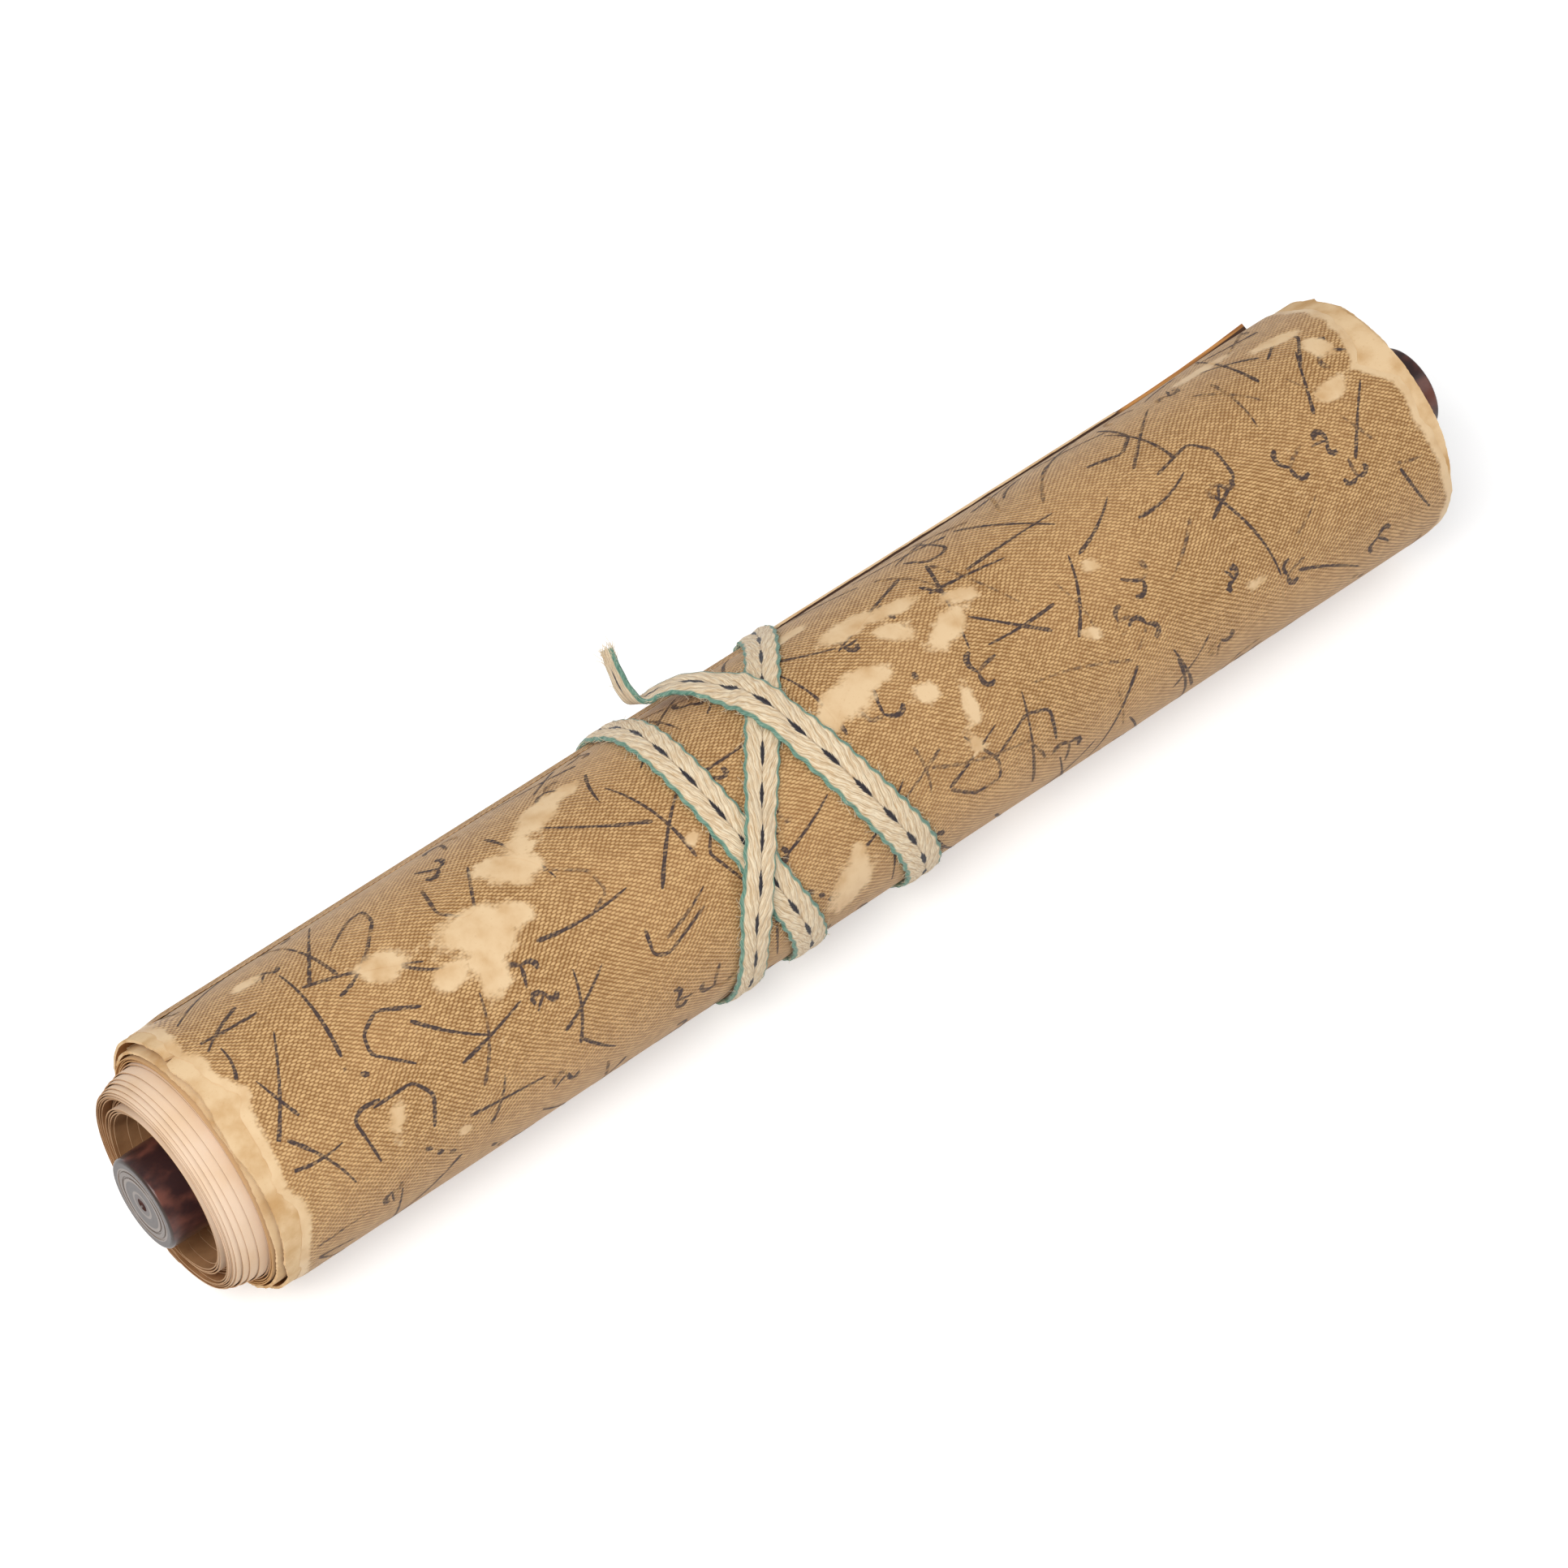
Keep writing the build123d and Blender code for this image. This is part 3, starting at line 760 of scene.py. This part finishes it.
def lay_out_print():
    """Points of all strokes on the flat cloth, their sides, and which stroke each is on."""
    points, widths, strokes = [], [], []
    for down in np.arange(4, PRINT_ROUND, PRINT_CELL):
        for over in np.arange(-130, 131, PRINT_CELL):
            middle = rng.uniform(-PRINT_STRAY, PRINT_STRAY, 2) + (down, over)
            for line, start, end in turned(motif(), rng.uniform(0, 2 * math.pi), middle):
                fine, share = fine_line(line)
                inside = (fine[:, 0] > PRINT_EDGE) & (fine[:, 0] < PRINT_ROUND)
                inside &= np.abs(fine[:, 1]) < PRINT_SIDE
                if inside.sum() < 3:
                    continue
                width = start + (end - start) * share
                width = width * (0.78 + 0.4 * rng.random(len(share)))
                width[[0, -1]] *= 0.55
                points.append(fine[inside])
                widths.append(width[inside])
                strokes.append(np.full(inside.sum(), len(points)))
    return np.concatenate(points), np.concatenate(widths), np.concatenate(strokes)


stroke_points, stroke_widths, stroke_numbers = lay_out_print()
print("print:", stroke_numbers[-1], "strokes,", len(stroke_points), "points")

# %% Print strips
silk_print, share, side = flat_grid("silk_print", len(stroke_points) - 1, 1, 1.0)
spot = np.rint(share * (len(stroke_points) - 1)).astype(int)
ahead = np.roll(stroke_points, -1, axis=0)
behind = np.roll(stroke_points, 1, axis=0)
last = np.roll(stroke_numbers, -1) != stroke_numbers
first = np.roll(stroke_numbers, 1) != stroke_numbers
ahead[last], behind[first] = stroke_points[last], stroke_points[first]
way = unit(ahead - behind)
left_side = np.stack([-way[:, 1], way[:, 0]], 1)
flat = stroke_points[spot] + left_side[spot] * ((side - 0.5) * stroke_widths[spot])[:, None]
turns = np.interp(flat[:, 0] * MM, cover_lengths, cover_turns)
x = flat[:, 1] * MM
depth = thinned(rim_distance(x, silk_ends(turns))) - DYE_HEIGHT
lay_on_cover(silk_print, x, turns, depth)
set_layout(silk_print, flat[:, 0] * MM / cover_lengths[-1], x / SILK_LENGTH + 0.5)
write_attribute(silk_print, "wear", worn_share(x, turns))
stroke_ink = rng.uniform(0.2, 0.9, stroke_numbers[-1] + 1)
write_attribute(silk_print, "ink", stroke_ink[stroke_numbers[spot]])

bpy.ops.object.mode_set(mode="EDIT")
bpy.ops.mesh.select_mode(type="FACE")
bpy.ops.mesh.select_all(action="DESELECT")
bpy.ops.object.mode_set(mode="OBJECT")
for face in silk_print.data.polygons:
    face.select = len({stroke_numbers[spot[vertex]] for vertex in face.vertices}) > 1
bpy.ops.object.mode_set(mode="EDIT")
bpy.ops.mesh.delete(type="FACE")
bpy.ops.object.mode_set(mode="OBJECT")
thicken(silk_print, DYE_THICKNESS)
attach(silk_print, "root")
print("print strips:", len(silk_print.data.polygons), "faces")

# %% [markdown]
# ## Hem over the batten
# The silk's free edge is folded round the batten. Left of the middle the fold lies flush on the
# roll, so only silk shows there. Right of it the fold has come open along the roll, and its thin
# paper backing shows over a dark gap. Near the right end it's torn away and the wood lies bare.

# %% Hem
HEM_SIDE = 139 * MM
HEM_FALLS_AT = -131.4 * MM
HEM_FLAT = 26.62
HEM_TORN_AT = 96 * MM
HEM_OPENS_AT = 8 * MM
HEM_WEARS_AT = -133
HEM_START, HEM_REACH = 0.002, 0.04
HEM_THICKNESS = 0.12 * MM
HEM_CLOSED = ((34.5, 26.44), (32.0, 26.62), (30.6, 27.00), (29.6, 27.13))
HEM_OPEN = ((30.64, 26.76), (30.56, 26.98), (30.2, 27.13), (29.6, 27.15))
HEM_BACK = ((25.0, 27.06), (20.6, 27.13), (19.3, 27.0), (18.3, 26.3), (17.4, 25.5))

hem, share, step = flat_grid("batten_hem", 260, 32, 1.0)
torn = raggedness(step, 0.8 * MM, 6)
x = -HEM_SIDE + share * (HEM_SIDE + HEM_TORN_AT + torn)
opened = smooth_share((x - HEM_OPENS_AT + raggedness(x * 4, 1.2 * MM, 3)) / (5 * MM))
stops = np.linspace(0, 1, len(HEM_CLOSED + HEM_BACK))
angle, radius = (
    np.interp(step, stops, closed) * (1 - opened) + np.interp(step, stops, open) * opened
    for closed, open in zip(zip(*HEM_CLOSED, *HEM_BACK), zip(*HEM_OPEN, *HEM_BACK))
)
radius += opened * raggedness(share, 0.10, 5) * np.clip(1 - step * 8, 0, 1)
fallen = smooth_share((HEM_FALLS_AT - x) / (6.5 * MM))
radius = radius - fallen * np.clip(radius - HEM_FLAT, 0, 1)
place_vertices(hem, round_axis(x, angle, radius * MM))
write_attribute(hem, "wear", np.maximum(opened, smooth_share((HEM_WEARS_AT - x / MM) / 4)))
set_layout(hem, HEM_START + step * HEM_REACH, x / SILK_LENGTH + 0.5)
thicken(hem, HEM_THICKNESS)
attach(hem, "root")
print("hem faces:", len(hem.data.polygons))

# %% [markdown]
# ## Loose fibres
# The cut end of the braid has frayed. Fine fibres stand out of it, and shorter ones stand off the
# edges all along. Each is a thin bent tube.

# %% Fibres of the braid
FIBRE_RADIUS = 0.035 * MM
FIBRE_BEND = 0.22
TIP_FIBRES = 150
EDGE_FIBRES = 700


def fibre(root, way):
    """Five points from a root along a way, which holds its length too, with a bend."""
    bend = rng.normal(0, FIBRE_BEND, 3) * np.linalg.norm(way)
    step = np.linspace(0, 1, 5)[:, None]
    return root + way * step + bend * step * step


def braid_point(length, share):
    """Places on the surface of the braid, and the way it runs there."""
    here, _ = braid_surface(length, share)
    before, _ = braid_surface(length - 1.0 * MM, share)
    return here, unit(here - before)


def uneven(ways, spread, shortest, longest):
    """Turns the ways a little, and makes each of them a fibre's length, in millimetres."""
    ways = ways + rng.normal(0, spread, ways.shape)
    return ways * rng.uniform(shortest, longest, len(ways))[:, None] * MM


rng = np.random.default_rng(7)
tip_length = BRAID_LENGTH - rng.uniform(0, 3.0, TIP_FIBRES) * MM
tip_roots, tip_ways = braid_point(tip_length, rng.uniform(0, 1, TIP_FIBRES))
tip_ways = uneven(tip_ways, 0.28, 0.5, 2.0)
edge_length = rng.uniform(0.02, 0.985, EDGE_FIBRES) * BRAID_LENGTH
edge_share = rng.choice([0.0, 0.5], EDGE_FIBRES) + rng.normal(0, 0.03, EDGE_FIBRES)
edge_roots, edge_ways = braid_point(edge_length, edge_share % 1)
middles, _ = braid_surface(edge_length, np.full(EDGE_FIBRES, 0.25))
outwards = unit(edge_roots - middles)
outwards[:, 2] = np.abs(outwards[:, 2]) * 0.5
edge_ways = outwards * 0.55 + edge_ways * rng.choice([-1, 1], EDGE_FIBRES)[:, None]
edge_ways = uneven(edge_ways, 0.2, 0.5, 1.4)
above = edge_roots[:, 2] > AXIS_HEIGHT - 20 * MM
roots = np.concatenate([tip_roots, edge_roots[above]])
ways = np.concatenate([tip_ways, edge_ways[above]])
lines = [fibre(root, way) for root, way in zip(roots, ways)]
tubes = {"bevel_depth": FIBRE_RADIUS, "bevel_resolution": 0, "use_fill_caps": True}
fibres = bpy.data.objects.new("braid_fibres", curve_mesh("braid_fibres", lines, "POLY", **tubes))
bpy.context.collection.objects.link(fibres)
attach(fibres, "root")
print("fibres:", len(fibres.data.polygons), "faces")

# %% [markdown]
# ## Finishes
# A finish is a small tree of nodes. A `Field` stands for a number, place or colour that changes
# over a surface. What is done to it adds a node, so a finish reads like a list of sums. Colours
# are written as they look on a screen, from 0 to 255, and turned into the renderer's own scale.

# %% Helpers for finishes
def paint(red, green, blue):
    """A colour for a shader, from what it looks like on a screen."""
    shares = [value / 255 for value in (red, green, blue)]
    linear = [s / 12.92 if s <= 0.04045 else ((s + 0.055) / 1.055) ** 2.4 for s in shares]
    return (*linear, 1)


def add_node(tree, kind, inputs, **settings):
    """Adds a node, and wires each input to a field or sets it to a value."""
    node = tree.nodes.new(kind)
    for name, value in settings.items():
        setattr(node, name, value)
    for name, value in inputs.items():
        if isinstance(value, Field):
            tree.links.new(value.socket, node.inputs[name])
        else:
            node.inputs[name].default_value = value
    return node


class Field:
    """A number, place or colour that changes over a surface."""

    def __init__(self, socket):
        self.socket = socket
        self.tree = socket.id_data

    def through(self, kind, inputs, output=0, **settings):
        """An output of a new node."""
        return Field(add_node(self.tree, kind, inputs, **settings).outputs[output])

    def calc(self, operation, second=0.0):
        """The result of one sum on this and a second number."""
        return self.through("ShaderNodeMath", {0: self, 1: second}, operation=operation)

    __add__ = partialmethod(calc, "ADD")
    __sub__ = partialmethod(calc, "SUBTRACT")
    __mul__ = partialmethod(calc, "MULTIPLY")
    __truediv__ = partialmethod(calc, "DIVIDE")
    __pow__ = partialmethod(calc, "POWER")
    __abs__ = partialmethod(calc, "ABSOLUTE")

    def __rsub__(self, first):
        return self.through("ShaderNodeMath", {0: first, 1: self}, operation="SUBTRACT")

    def between(self, low, high):
        """Goes smoothly from 0 to 1 as this goes from low to high."""
        inputs = {"Value": self, "From Min": low, "From Max": high}
        return self.through("ShaderNodeMapRange", inputs, interpolation_type="SMOOTHSTEP")

    def blend(self, first, second):
        """Goes from the first colour to the second as this goes from 0 to 1."""
        return self.through("ShaderNodeMix", {0: self, 6: first, 7: second}, 2, data_type="RGBA")

    def cloudy(self, scale, detail=3.0, output=0):
        """Noise from 0 to 1 at this place: one number, or three as output 1."""
        inputs = {"Vector": self, "Scale": scale, "Detail": detail}
        return self.through("ShaderNodeTexNoise", inputs, output)

    def moved(self, way):
        """This place, moved by another one."""
        return self.through("ShaderNodeVectorMath", {0: self, 1: way})

    def scaled(self, *scale):
        """This place, scaled along each of its axes."""
        return self.through("ShaderNodeMapping", {"Vector": self, "Scale": scale})

    def split(self):
        """The three numbers of this place."""
        node = add_node(self.tree, "ShaderNodeSeparateXYZ", {"Vector": self})
        return [Field(socket) for socket in node.outputs]

    def joined(self, second=0.0, third=0.0):
        """The place with this and two more numbers."""
        return self.through("ShaderNodeCombineXYZ", {0: self, 1: second, 2: third})

    def feeds(self, node, name):
        """Wires this to an input of a node."""
        self.tree.links.new(self.socket, node.inputs[name])


def where_on(tree, kind):
    """The object or UV coordinates of the surface."""
    return Field(add_node(tree, "ShaderNodeTexCoord", {}).outputs[kind])


def attribute_of(tree, name):
    """A number that the mesh holds for each of its vertices."""
    return Field(add_node(tree, "ShaderNodeAttribute", {}, attribute_name=name).outputs["Fac"])


def distance_from_axis(place):
    """Distance of a place from the axis of the roll, in metres."""
    _, out, up = place.split()
    return ((out ** 2) + ((up - AXIS_HEIGHT) ** 2)).calc("SQRT")


def new_finish(name, roughness, specular=0.3):
    """A new material, its node tree and its shader."""
    material = bpy.data.materials.new(name)
    material.use_nodes = True
    tree = material.node_tree
    shader = tree.nodes["Principled BSDF"]
    shader.inputs["Roughness"].default_value = roughness
    shader.inputs["Specular IOR Level"].default_value = specular
    return material, tree, shader


def cover_with(shader, colour, height, depth):
    """Gives a shader its colour, and a height from 0 to 1 that catches the light."""
    colour.feeds(shader, "Base Color")
    bump = {"Height": height, "Distance": depth, "Strength": 1.0}
    height.through("ShaderNodeBump", bump).feeds(shader, "Normal")


# %% [markdown]
# ## Silk finish
# Seen close, the silk is a twill: plump pale floats on a browner ground. The floats of a row lie
# 1.24 mm apart, and the next row, 0.51 mm further on, is shifted by half of that, so the floats
# line up in slanting ridges. They are made from the flat layout of the cloth. Old silk wears
# through: where the `wear` of the mesh is high, the paper under it shows.

# %% Silk finish
FLOAT_SPACING = 1.244
ROW_SPACING = 0.508
RIDGE_SLANT = 0.16
FLOAT_HALF_WIDTH = 0.56
FLOAT_HALF_LENGTHS = (0.35, 0.48)
WANDERS = ((0.045, 2.0), (0.9, 0.22))
WEAVE_DEPTH = 0.10 * MM
SILK_FLOAT = paint(226, 184, 128)
SILK_GROUND = paint(146, 102, 54)
SILK_SHADE = paint(166, 121, 74)
BARE_PAPER = paint(236, 204, 160)
BARE_STAIN = paint(206, 162, 108)
INK = paint(74, 60, 58)


def flat_place(tree):
    """A place on the flat cloth, in millimetres."""
    return where_on(tree, "UV").scaled(cover_lengths[-1] / MM, SILK_LENGTH / MM, 1)


def weave(flat):
    """Height of the floats, which lie in slanting ridges, and each float's own number."""
    place = flat
    for scale, reach in WANDERS:
        wander = flat.cloudy(scale, 1.0, output=1)
        wander = wander.through(
            "ShaderNodeVectorMath", {0: wander, 1: (reach, reach, 0)}, operation="MULTIPLY"
        )
        place = place.moved(wander)
    down, over, _ = place.split()
    rows = down / ROW_SPACING
    row = rows.calc("FLOOR")
    across = rows.calc("FRACT") - 0.5
    lean = (flat.cloudy(0.06, 1.0) - 0.5) * 3.0
    step = row + across * (lean + RIDGE_SLANT)
    floats = over / FLOAT_SPACING + step * -0.5
    along = floats.calc("FRACT") - 0.5
    number = row.joined(floats.calc("FLOOR"))
    own = number.through("ShaderNodeTexWhiteNoise", {"Vector": number})
    shortest, longest = FLOAT_HALF_LENGTHS
    half_length = own * (longest - shortest) + shortest
    across = (abs(across) / FLOAT_HALF_WIDTH) ** 2
    along = (abs(along) / half_length) ** 2
    return (1 - (across + along)).between(-0.40, 1.00), own


def speckled(place, colour, dark, scale):
    """The colour with small dark specks."""
    return (place.cloudy(scale, 2.0).between(0.60, 0.80) * 0.35).blend(colour, dark)


def bare_paper(flat):
    """Colour of the paper that backs the silk, with its stains and specks."""
    stain_and_shade = flat.cloudy(0.16, 5.0).between(0.38, 0.80)
    return speckled(flat, (stain_and_shade * 0.8).blend(BARE_PAPER, BARE_STAIN), BARE_STAIN, 1.9)


def silk_colours(tree, ink=None):
    """Colour and height of the silk, dyed by an ink field and worn by the mesh's wear."""
    flat = flat_place(tree)
    height, own = weave(flat)
    shade = flat.cloudy(0.028, 4.0).between(0.35, 0.70)
    ground = shade.blend(SILK_GROUND, SILK_SHADE)
    colour = (height * (own * 0.50 + 0.62)).blend(ground, SILK_FLOAT)
    if ink is not None:
        colour = (ink * (1 - height * (own * 0.5))).blend(colour, INK)
    fine = (flat.cloudy(0.9) - 0.5) * 0.5
    wide = (flat.cloudy(0.22) - 0.5) * 1.2
    single = (own - 0.5) * 0.14
    frayed = (attribute_of(tree, "wear") + fine) + (wide + single)
    worn = frayed.between(0.22, 0.74)
    return worn.blend(colour, bare_paper(flat)), height * (1 - worn)


silk_finish, tree, shader = new_finish("silk_weave", 0.62, 0.25)
cover_with(shader, *silk_colours(tree), WEAVE_DEPTH)
shader.inputs["Sheen Weight"].default_value = 0.2
shader.inputs["Sheen Roughness"].default_value = 0.45
dress(silk, silk_finish)
dress(hem, silk_finish)
print("silk finish:", len(tree.nodes), "nodes")

# %% Print finish
print_finish, tree, shader = new_finish("silk_dye", 0.62, 0.25)
ink = (attribute_of(tree, "ink") + flat_place(tree).cloudy(0.6)).between(0.55, 1.05)
cover_with(shader, *silk_colours(tree, ink), WEAVE_DEPTH)
dress(silk_print, print_finish)

# %% Lining finish
def lining_finish(name, light, dark):
    """Old backing paper: clouds of stains, specks and fibres along the roll."""
    material, tree, shader = new_finish(name, 0.85, 0.2)
    place = where_on(tree, "Object")
    stain_and_shade = place.cloudy(150.0, 5.0).between(0.36, 0.74)
    colour = speckled(place, stain_and_shade.blend(light, dark), dark, 1900.0)
    fibre = place.scaled(400.0, 1500.0, 1500.0).cloudy(1.0)
    cover_with(shader, colour, fibre, 0.05 * MM)
    return material


backing_paper = lining_finish("backing_paper", BARE_PAPER, BARE_STAIN)
# Inner face of the lining: a brown tint of the backing, darkened further as painted shade for the
# inside of the cover.
backing_inside_tint_and_shade = lining_finish("backing_inside_tint_and_shade", paint(190, 138, 84), paint(150, 102, 58))
dress(lining, backing_paper, backing_inside_tint_and_shade)

# %% Paper finish
def paper_finish(name, light, dark):
    """Soft handmade paper: faint clouds of colour and short fibres, with stains on the outer
    turns.
    """
    material, tree, shader = new_finish(name, 0.9, 0.15)
    place = where_on(tree, "Object")
    fibre = place.cloudy(2400.0, 2.0)
    colour = place.cloudy(90.0, 4.0).between(0.35, 0.7).blend(light, dark)
    colour = (fibre * 0.18).blend(colour, dark)
    outer_turns = distance_from_axis(place).between(22.6 * MM, 22.9 * MM)
    colour = (outer_turns * 0.8).blend(colour, BARE_STAIN)
    cover_with(shader, colour, fibre, 0.02 * MM)
    return material


dress(
    paper,
    paper_finish("paper_front", paint(247, 220, 193), paint(241, 208, 172)),
    # Back faces: a brown tint of the backing, darkened further as painted shade for the hollow
    # inside the roll.
    paper_finish("paper_back_tint_and_shade", paint(174, 130, 90), paint(132, 92, 58)),
    # Cut edges: a darker tone of exposed edges, and painted shade so the edges of the turns read
    # as dark lines.
    paper_finish("paper_edge_tone_and_shade", paint(206, 168, 132), paint(180, 138, 100)),
)

# %% [markdown]
# ## Horn, wood and braid
# The roller ends are turned from dark horn and polished. On the side, the horn shows soft streaks
# along its length, and on the end face its rings, with thin paler rings at the two turned lines.

# %% Horn finish
PALE_RINGS = ((6.3, 1.1, 0.45), (7.3, 0.3, 0.8), (5.2, 0.3, 0.7), (2.6, 0.3, 0.7))
PALE_RING_COLOUR = paint(150, 134, 122)


def refinish(node_name, material):
    """Gives a solid of the frame a new material."""
    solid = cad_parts[node_name]
    solid.data.materials.clear()
    solid.data.materials.append(material)


horn_finish, tree, shader = new_finish("polished_horn", 0.30, 0.3)
place = where_on(tree, "Object")
radius = distance_from_axis(place)
streak = place.scaled(140.0, 210.0, 210.0).cloudy(1.0, 5.0)
side = streak.between(0.40, 0.72).blend(paint(58, 36, 36), paint(122, 72, 60))
face = radius.joined().cloudy(900.0, 2.0).between(0.35, 0.65)
face = face.blend(paint(46, 34, 28), paint(72, 56, 48))
blot = place.cloudy(260.0, 4.0).between(0.45, 0.62)
face = (blot * 0.55).blend(face, paint(56, 38, 32))
# The end face is made paler in thin rings at these radii.
for ring_radius, half_width, share in PALE_RINGS:
    off = abs(radius - ring_radius * MM)
    near = off.between(half_width * 1.4 * MM, half_width * 0.5 * MM)
    face = (near * share).blend(face, PALE_RING_COLOUR)
face = radius.between(1.9 * MM, 1.4 * MM).blend(face, paint(70, 36, 24))
on_face = abs(place.split()[0]).between(153.45 * MM, 153.8 * MM)
cover_with(shader, on_face.blend(side, face), streak, 0.03 * MM)
shader.inputs["Coat Weight"].default_value = 0.15
shader.inputs["Coat Roughness"].default_value = 0.12
refinish("roller_end_left", horn_finish)
refinish("roller_end_right", horn_finish)

# %% Wood finishes
# Colour of the batten's painted shade, in the fold and under its bare end.
BATTEN_SHADE_COLOUR = paint(70, 44, 28)
SPRUNG_AT = 95 * MM
SPRUNG_LENGTH = 36 * MM
SPRUNG_LIFT = 1.5 * MM


def batten_painted_shade(place):
    """Painted shade on the batten: all of it in the fold, and the lower half of its bare end."""
    along = place.split()[0]
    folded = along.between(HEM_TORN_AT + 3 * MM, HEM_TORN_AT)
    bare = (along - SPRUNG_AT).calc("MAXIMUM", 0)
    height = distance_from_axis(place) - (bare / SPRUNG_LENGTH) ** 2 * SPRUNG_LIFT
    return folded.calc("MAXIMUM", height.between(26.45 * MM, 26.2 * MM))


def wood_finish(name, light, dark, roughness, stain_and_shade=None):
    """Straight-grained wood with its grain along X, and a darker colour as painted shade where a
    function says so.
    """
    material, tree, shader = new_finish(name, roughness, 0.35)
    place = where_on(tree, "Object")
    grain = place.scaled(18.0, 1400.0, 1400.0).cloudy(1.0, 4.0)
    colour = grain.between(0.35, 0.7).blend(light, dark)
    if stain_and_shade:
        # Painted shade: the batten is darkened where it sits in the fold and on the lower half of
        # its sprung bare end.
        colour = stain_and_shade(place).blend(colour, BATTEN_SHADE_COLOUR)
    cover_with(shader, colour, grain, 0.05 * MM)
    return material


batten_wood = wood_finish("batten_wood", paint(206, 146, 80), paint(160, 104, 54), 0.5, batten_painted_shade)
refinish("stave", batten_wood)
refinish("roller", wood_finish("roller_wood", paint(176, 136, 92), paint(126, 90, 58), 0.6))

# %% [markdown]
# The braid reads its own layout: one number goes from edge to edge, the other counts millimetres
# along it. So the green yarns stay on the edges and the dark stitches in the middle, wherever
# the braid turns.

# %% Braid finish
STRAND_SLANT = 11.5
PLAIT_SPACING = 4.1
STITCH_SPACING = 8.2

braid_finish, tree, shader = new_finish("cotton_braid", 0.9, 0.15)
side, along, _ = where_on(tree, "UV").split()
off_middle = abs(side)
slant = along - off_middle * STRAND_SLANT
plait = abs((slant * (math.pi / PLAIT_SPACING)).calc("SINE"))
yarn = (slant * 2.2).joined(along * 0.6, side).cloudy(1.0)
colour = yarn.between(0.32, 0.66).blend(paint(216, 184, 142), paint(252, 234, 202))
# Painted shade: the hollows between the lumps of the plaits are darkened.
colour = (plait.between(0.38, 0.0) * 0.5).blend(colour, paint(168, 132, 90))
# Painted shade: a dark brown line along the middle groove between the two plaits.
colour = (off_middle.between(0.07, 0.0) * 0.45).blend(colour, paint(120, 88, 58))
uneven = (yarn - 0.5) * 0.20
stitch_end = (abs((along / STITCH_SPACING).calc("FRACT") - 0.5) * 3.0) ** 2
stitch = (off_middle + stitch_end * 0.13 + uneven).between(0.16, 0.09)
colour = stitch.blend(colour, paint(48, 44, 50))
green = yarn.between(0.3, 0.7).blend(paint(84, 128, 112), paint(140, 174, 154))
colour = (off_middle + uneven).between(0.80, 0.88).blend(colour, green)
cover_with(shader, colour, plait * 0.5 + yarn * 0.6, 0.3 * MM)
shader.inputs["Sheen Weight"].default_value = 0.3
braid.data.materials.append(braid_finish)

fibre_finish, tree, shader = new_finish("cotton_fibre", 0.9, 0.1)
shader.inputs["Base Color"].default_value = paint(244, 226, 196)
fibres.data.materials.append(fibre_finish)

# %% [markdown]
# ## Studio
# The floor is white paper and the light is soft. A large lamp stands on the left, a small one
# fills in from the right, and the rest comes from the sky. The floor adds a little light of its
# own where the camera sees it, so it comes out white and still keeps the shadow.

# %% Floor
FLOOR_GLOW = 0.45


def seen(tree, *rays):
    """Is 1 for rays of these kinds."""
    outputs = add_node(tree, "ShaderNodeLightPath", {}).outputs
    share = Field(outputs["Is Camera Ray"])
    for ray in rays:
        share = share.calc("MAXIMUM", Field(outputs[ray]))
    return share


bpy.ops.object.select_all(action="DESELECT")
bpy.ops.mesh.primitive_plane_add(size=6)
floor = bpy.context.object
floor.name = "floor"
floor_finish, tree, shader = new_finish("studio_floor", 1.0, 0.0)
shader.inputs["Base Color"].default_value = (0.8, 0.8, 0.8, 1)
strength = seen(tree, "Is Glossy Ray", "Is Transmission Ray") * FLOOR_GLOW
glow = strength.through("ShaderNodeEmission", {"Strength": strength})
both = glow.through("ShaderNodeAddShader", {0: Field(shader.outputs[0]), 1: glow})
both.feeds(tree.nodes["Material Output"], "Surface")
floor.data.materials.append(floor_finish)


# %% Lamps
def softbox(name, place, energy, size):
    """A square lamp that points at the middle of the roll."""
    bpy.ops.object.light_add(type="AREA", location=place)
    lamp = bpy.context.object
    lamp.name = name
    lamp.data.energy = energy
    lamp.data.size = size
    lamp.rotation_euler = (-Vector(place)).to_track_quat("-Z", "Y").to_euler()


softbox("key_lamp", (-0.75, -0.35, 1.15), 11.0, 0.7)
softbox("fill_lamp", (0.8, -0.6, 0.7), 1.6, 0.6)

# %% Sky
SKY_LIGHT = 0.5

sky = bpy.data.worlds.new("studio")
sky.use_nodes = True
background = sky.node_tree.nodes["Background"]
background.inputs["Color"].default_value = (1, 1, 1, 1)
strength = seen(sky.node_tree, "Is Transmission Ray") * (1 - SKY_LIGHT) + SKY_LIGHT
strength.feeds(background, "Strength")
bpy.context.scene.world = sky
bpy.context.scene.view_settings.view_transform = "Standard"
